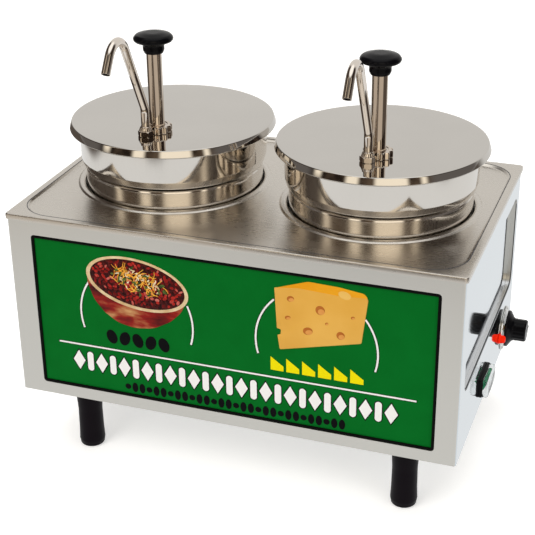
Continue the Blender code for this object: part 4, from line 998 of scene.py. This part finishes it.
def make_bowl():
    """A plain bowl of stew: tilted rim, glazed side, beans, shreds and herbs."""
    cx, cz, a, b, tilt = -110.3, 165.5, 63.6, 32.0, -7.5
    side = [(-172.3, 172, 0), (-172.6, 158, 20), (-165.5, 138.5, 30), (-153.5, 123.5, 30), (-137, 112.5, 30),
            (-116, 108.4, 40), (-92, 111.6, 40), (-70.5, 123.8, 30), (-56.5, 138, 30), (-49, 155, 0),
            (-60, 164, 0), (-110, 160, 0), (-160, 172, 0)]
    ink("bowl_side", [fillet(side, True, 4, 1)], "bowl_side", 0.0, 0.45, 0.2)
    ink("bowl_rim", [ellipse(cx, cz, a, b, tilt, steps=96)], "bowl_rim", 0.30, 0.35, 0.15)
    ink("bowl_fill", [ellipse(cx + 0.3, cz + 0.4, a - 4.6, b - 3.4, tilt)], "stew", 0.60, 0.12)
    scatter = random.Random(11)
    beans = bmesh.new()
    count, golden_angle = 230, 2.39996
    for i in range(count):
        radius = math.sqrt((i + 0.5) / count)
        angle = i * golden_angle
        x, z = (a - 7.5) * radius * math.cos(angle), (b - 5.8) * radius * math.sin(angle)
        px, pz = tilted(cx + 0.3, cz + 0.4, x, z, tilt)
        bean = bmesh.new()
        bmesh.ops.create_uvsphere(bean, u_segments=12, v_segments=8, radius=1.0)
        size = Matrix.Diagonal((scatter.uniform(2.0, 3.5) * MM, scatter.uniform(1.2, 2.1) * MM, 0.42 * MM, 1))
        spin = Matrix.Rotation(scatter.uniform(0, math.pi), 4, "Z")
        lift = scatter.uniform(0.0, 0.12) * MM
        bmesh.ops.transform(bean, matrix=Matrix.Translation((px * MM, pz * MM, lift)) @ spin @ size,
                            verts=bean.verts)
        add_mesh(beans, bean)
    piece("stew_beans", beans, "beans", at=(ART.x, INK_Y - 0.68 * MM, ART.z), turn=TO_FRONT, sharp=80)
    for name, key, count, spread, length, width in (("stew_herbs", "herb", 30, (34, 17), (3, 6), 1.5),
                                                    ("stew_pale", "pale", 30, (31, 14), (3, 7), 1.0),
                                                    ("stew_shreds", "shred", 62, (34, 15), (8, 20), 0.62)):
        make_strands(name, key, count, (cx + 3, cz + 3), spread, length, width, scatter)


def make_strands(name, key, count, middle, spread, length, width, scatter):
    """Short bent strips lying on the stew."""
    level = INK_Y - 1.05 * MM
    curve = bpy.data.curves.new(name, "CURVE")
    curve.dimensions = "3D"
    curve.bevel_depth = 1.0 * MM
    curve.bevel_resolution = 2
    curve.use_fill_caps = True
    for _ in range(count):
        angle = scatter.uniform(0, 2 * math.pi)
        reach = math.sqrt(scatter.random())
        x = middle[0] + spread[0] * reach * math.cos(angle)
        z = middle[1] + spread[1] * reach * math.sin(angle) - 0.2 * (x - middle[0])
        heading = scatter.uniform(0, math.pi)
        bow = scatter.uniform(-0.6, 0.6)
        long = scatter.uniform(*length)
        spline = curve.splines.new("POLY")
        spline.points.add(6)
        for i, knot in enumerate(spline.points):
            t = i / 6 - 0.5
            way = heading + bow * t * 2
            knot.co = ((x + long * t * math.cos(way)) * MM, level, (z + long * t * math.sin(way)) * MM, 1)
            knot.radius = width * (1 - 0.5 * abs(t) * 2)
    obj = bpy.data.objects.new(name, curve)
    bpy.context.scene.collection.objects.link(obj)
    mesh = bpy.data.meshes.new_from_object(obj.evaluated_get(bpy.context.evaluated_depsgraph_get()))
    bpy.data.objects.remove(obj, do_unlink=True)
    bm = bmesh.new()
    bm.from_mesh(mesh)
    bpy.data.meshes.remove(mesh)
    lift = Matrix.Translation((0, level, 0))
    bmesh.ops.transform(bm, matrix=lift @ Matrix.Diagonal((1, 0.28, 1, 1)) @ lift.inverted(), verts=bm.verts)
    piece(name, bm, key, at=ART, sharp=80)


def make_cheese():
    """A plain wedge of holed cheese: face, top, dent and hollows."""
    top = [(55.7, 187.6, 0.5), (74, 194, 20), (94, 201, 18), (130, 199.6, 40), (157, 196, 6), (162.6, 190, 3),
           (150, 186, 3), (100, 184, 3)]
    face = [(55.5, 188.2, 1.5), (82, 191.5, 20), (130, 189.3, 40), (162, 191.5, 3), (155.2, 135.4, 2.5),
            (61.4, 112, 1.5), (58.9, 130, 0.5), (62.6, 131.5, 1.5), (62.9, 137.5, 1.5), (58.2, 138.6, 0.5)]
    ink("cheese_top", [fillet(top, True, 6, 1)], "cheese_top", 0.0, 0.40, 0.15)
    ink("cheese_face", [fillet(face, True, 5, 1)], "cheese", 0.12, 0.50, 0.25)
    hollows = ((74.2, 177.2, 4.3, 3.5), (108.2, 168.5, 5.4, 5.6), (94.2, 140.6, 5.7, 4.7),
               (131.7, 141.2, 4.8, 4.9), (145.2, 165.3, 2.4, 1.9), (115.8, 153.3, 1.9, 1.7),
               (71.0, 153.6, 3.4, 2.4))
    for i, (x, z, a, b) in enumerate(hollows):
        ink(f"hollow_{i}", [ellipse(x, z, a, b, 15, steps=40)], "hollow", 0.60, 0.06)
        ink(f"hollow_lip_{i}", [ellipse(x + a * 0.22, z - b * 0.30, a * 0.72, b * 0.62, 15, steps=40)],
            "hollow_lip", 0.65, 0.06)
    ink("dent", [ellipse(135.5, 191, 7.2, 4.6, -14, steps=48)], "dent", 0.52, 0.14)


# ---- studio ----
def bearing_of(tree, axes):
    """Angle round Z of a direction or place, in degrees: 0 in front, positive to the right."""
    return times(tree, calc(tree, "ARCTAN2", axes[0], times(tree, axes[1], -1.0)), 180 / math.pi)


def band(tree, value, low, high, soft=5):
    """1 between two values, fading to 0 outside them."""
    return times(tree, smooth(tree, value, low - soft, low + soft),
                 smooth(tree, value, high - soft, high + soft, 1.0, 0.0))


def make_world():
    """Studio surroundings: pale backdrop behind, dark flanks, a dim warm room with two windows in front."""
    world = bpy.data.worlds.new("studio")
    bpy.context.scene.world = world
    world.use_nodes = True
    tree = world.node_tree
    tree.nodes.clear()
    way = add(tree, "ShaderNodeTexCoord").outputs["Generated"]
    axes = add(tree, "ShaderNodeSeparateXYZ", Vector=way).outputs
    bearing = bearing_of(tree, axes)
    lift = times(tree, calc(tree, "ARCSINE", axes[2]), 180 / math.pi)
    mottle = smooth(tree, noise(tree, way, 3.0), 0.36, 0.66)
    flank = blend(tree, mottle, (0.020, 0.014, 0.012), (0.08, 0.058, 0.044))
    room = blend(tree, mottle, (0.022, 0.015, 0.011), (0.13, 0.09, 0.06))
    flank = blend(tree, smooth(tree, lift, 14, 20, 1.0, 0.0), flank, (0.15, 0.135, 0.125))
    colour = blend(tree, band(tree, bearing, -62, 66, 8), flank, room)
    for start, end in ((-58, -50), (-22, -9), (8, 42), (56, 62)):
        window = times(tree, band(tree, bearing, start, end, 3), band(tree, lift, 6, 48))
        colour = blend(tree, window, colour, (1.30, 1.16, 0.94))
    rear = smooth(tree, calc(tree, "ABSOLUTE", bearing), 122, 142)
    colour = blend(tree, rear, colour, (0.76, 0.745, 0.72))
    colour = blend(tree, smooth(tree, lift, 50, 68), colour, (1.25, 1.24, 1.21))
    colour = blend(tree, smooth(tree, lift, -6, 0, 1.0, 0.0), colour, (0.78, 0.78, 0.78))
    seen = add(tree, "ShaderNodeLightPath").outputs["Is Camera Ray"]
    colour = blend(tree, seen, colour, (1.0, 1.0, 1.0))
    back = add(tree, "ShaderNodeBackground", Color=colour, Strength=1.0)
    out = add(tree, "ShaderNodeOutputWorld")
    tree.links.new(back.outputs[0], out.inputs[0])


def make_floor():
    """Pale studio floor with a faint glow, so that it stays as bright as a lit sweep.

    What the steel mirrors is dimmer: a pale table round the case and, past its edge, lit and dark parts.
    """
    mat, tree, coord = new_material("studio_floor")
    tone = blend(tree, noise(tree, coord, 2, detail=2.0), (0.86, 0.86, 0.86), (0.88, 0.88, 0.88))
    shader = finish_with(tree, Base_Color=tone, Roughness=0.9, Specular_IOR_Level=0.0, Emission_Color=tone,
                         Emission_Strength=0.50)
    place = add(tree, "ShaderNodeNewGeometry").outputs["Position"]
    bearing = bearing_of(tree, add(tree, "ShaderNodeSeparateXYZ", Vector=place).outputs)
    lit_front = plus(tree, band(tree, bearing, -74, -16), band(tree, bearing, 8, 66))
    lit_rear = smooth(tree, calc(tree, "ABSOLUTE", bearing), 126, 142)
    lit = blend(tree, lit_front, (0.11, 0.09, 0.075), (0.60, 0.53, 0.45))
    lit = blend(tree, lit_rear, lit, (0.76, 0.75, 0.73))
    beyond = place
    for operation, other in (("ABSOLUTE", (0, 0, 0)), ("SUBTRACT", (FACE, CASING[1].y, 1)),
                             ("MAXIMUM", (0, 0, 0)), ("LENGTH", (0, 0, 0))):
        step = add(tree, "ShaderNodeVectorMath", {"operation": operation}, i0=beyond, i1=other)
        beyond = step.outputs["Value" if operation == "LENGTH" else "Vector"]
    lit = blend(tree, smooth(tree, beyond, 0.84, 0.92), (0.84, 0.85, 0.85), lit)
    mirrored = add(tree, "ShaderNodeEmission", Color=lit, Strength=1.0)
    seen = add(tree, "ShaderNodeLightPath").outputs["Is Camera Ray"]
    mix = add(tree, "ShaderNodeMixShader", i0=seen, i1=mirrored.outputs[0], i2=shader.outputs[0])
    tree.links.new(mix.outputs[0], tree.nodes["Material Output"].inputs[0])
    bm = bmesh.new()
    bmesh.ops.create_circle(bm, cap_ends=True, radius=14, segments=96)
    mesh = bpy.data.meshes.new("floor")
    bm.to_mesh(mesh)
    bm.free()
    floor = bpy.data.objects.new("floor", mesh)
    floor.location.z = TABLE_Z - 0.2 * MM
    mesh.materials.append(mat)
    bpy.context.scene.collection.objects.link(floor)


def make_softbox(name, place, size, power, colour):
    """An area light aimed at the machine, which the steel doesn't mirror."""
    light = bpy.data.lights.new(name, "AREA")
    light.shape = "RECTANGLE"
    light.size, light.size_y = size
    light.energy = power
    light.color = colour
    lamp = bpy.data.objects.new(name, light)
    lamp.location = place
    lamp.rotation_euler = (Vector((0, 0, 0.1)) - Vector(place)).to_track_quat("-Z", "Y").to_euler()
    lamp.visible_glossy = False
    bpy.context.scene.collection.objects.link(lamp)


def make_camera():
    """Three-quarter view from above the right-hand front corner."""
    azimuth, elevation, roll = math.radians(19.70), math.radians(25.78), math.radians(0.60)
    data = bpy.data.cameras.new("camera")
    data.sensor_width = 36
    data.lens = 88.23
    data.clip_start = 0.05
    data.clip_end = 60
    camera = bpy.data.objects.new("camera", data)
    camera.matrix_world = Matrix.Translation((0.4816, -1.3704, 0.8290))
    for angle, axis in ((azimuth, "Z"), (math.pi / 2 - elevation, "X"), (-roll, "Z")):
        camera.matrix_world @= Matrix.Rotation(angle, 4, axis)
    bpy.context.scene.collection.objects.link(camera)
    bpy.context.scene.camera = camera


def make_view():
    settings = bpy.context.scene.view_settings
    settings.view_transform = "Standard"
    settings.look = "None"
    settings.exposure = 0.0


# ---- build ----
MAT = make_materials()
dress_cad_nodes()
make_deck()
make_step_shade_line()
for tag in SIDES:
    for make in (make_well, make_pot, make_lid, make_knob, make_plunger_tube, make_spring, make_collar,
                 make_nut, make_spout, make_cylinder):
        make(tag)
make_dial()
make_dial_knob()
make_pilot()
make_switch()
make_boot()
for tag in CORNERS:
    make_leg(tag)
make_back_screws()
make_recess_shade_lines()
make_sign_trim()
make_sign_frame_print()
make_sign_ornament()
make_bowl()
make_cheese()
make_world()
make_floor()
make_softbox("key", (-0.9, -1.7, 1.9), (1.4, 1.1), 26, (1.0, 0.99, 0.97))
make_softbox("fill", (1.9, -0.9, 1.1), (1.2, 1.2), 12, (0.95, 0.98, 1.0))
make_softbox("top", (0.1, 0.3, 2.2), (1.8, 1.4), 16, (1.0, 1.0, 1.0))
make_camera()
make_view()
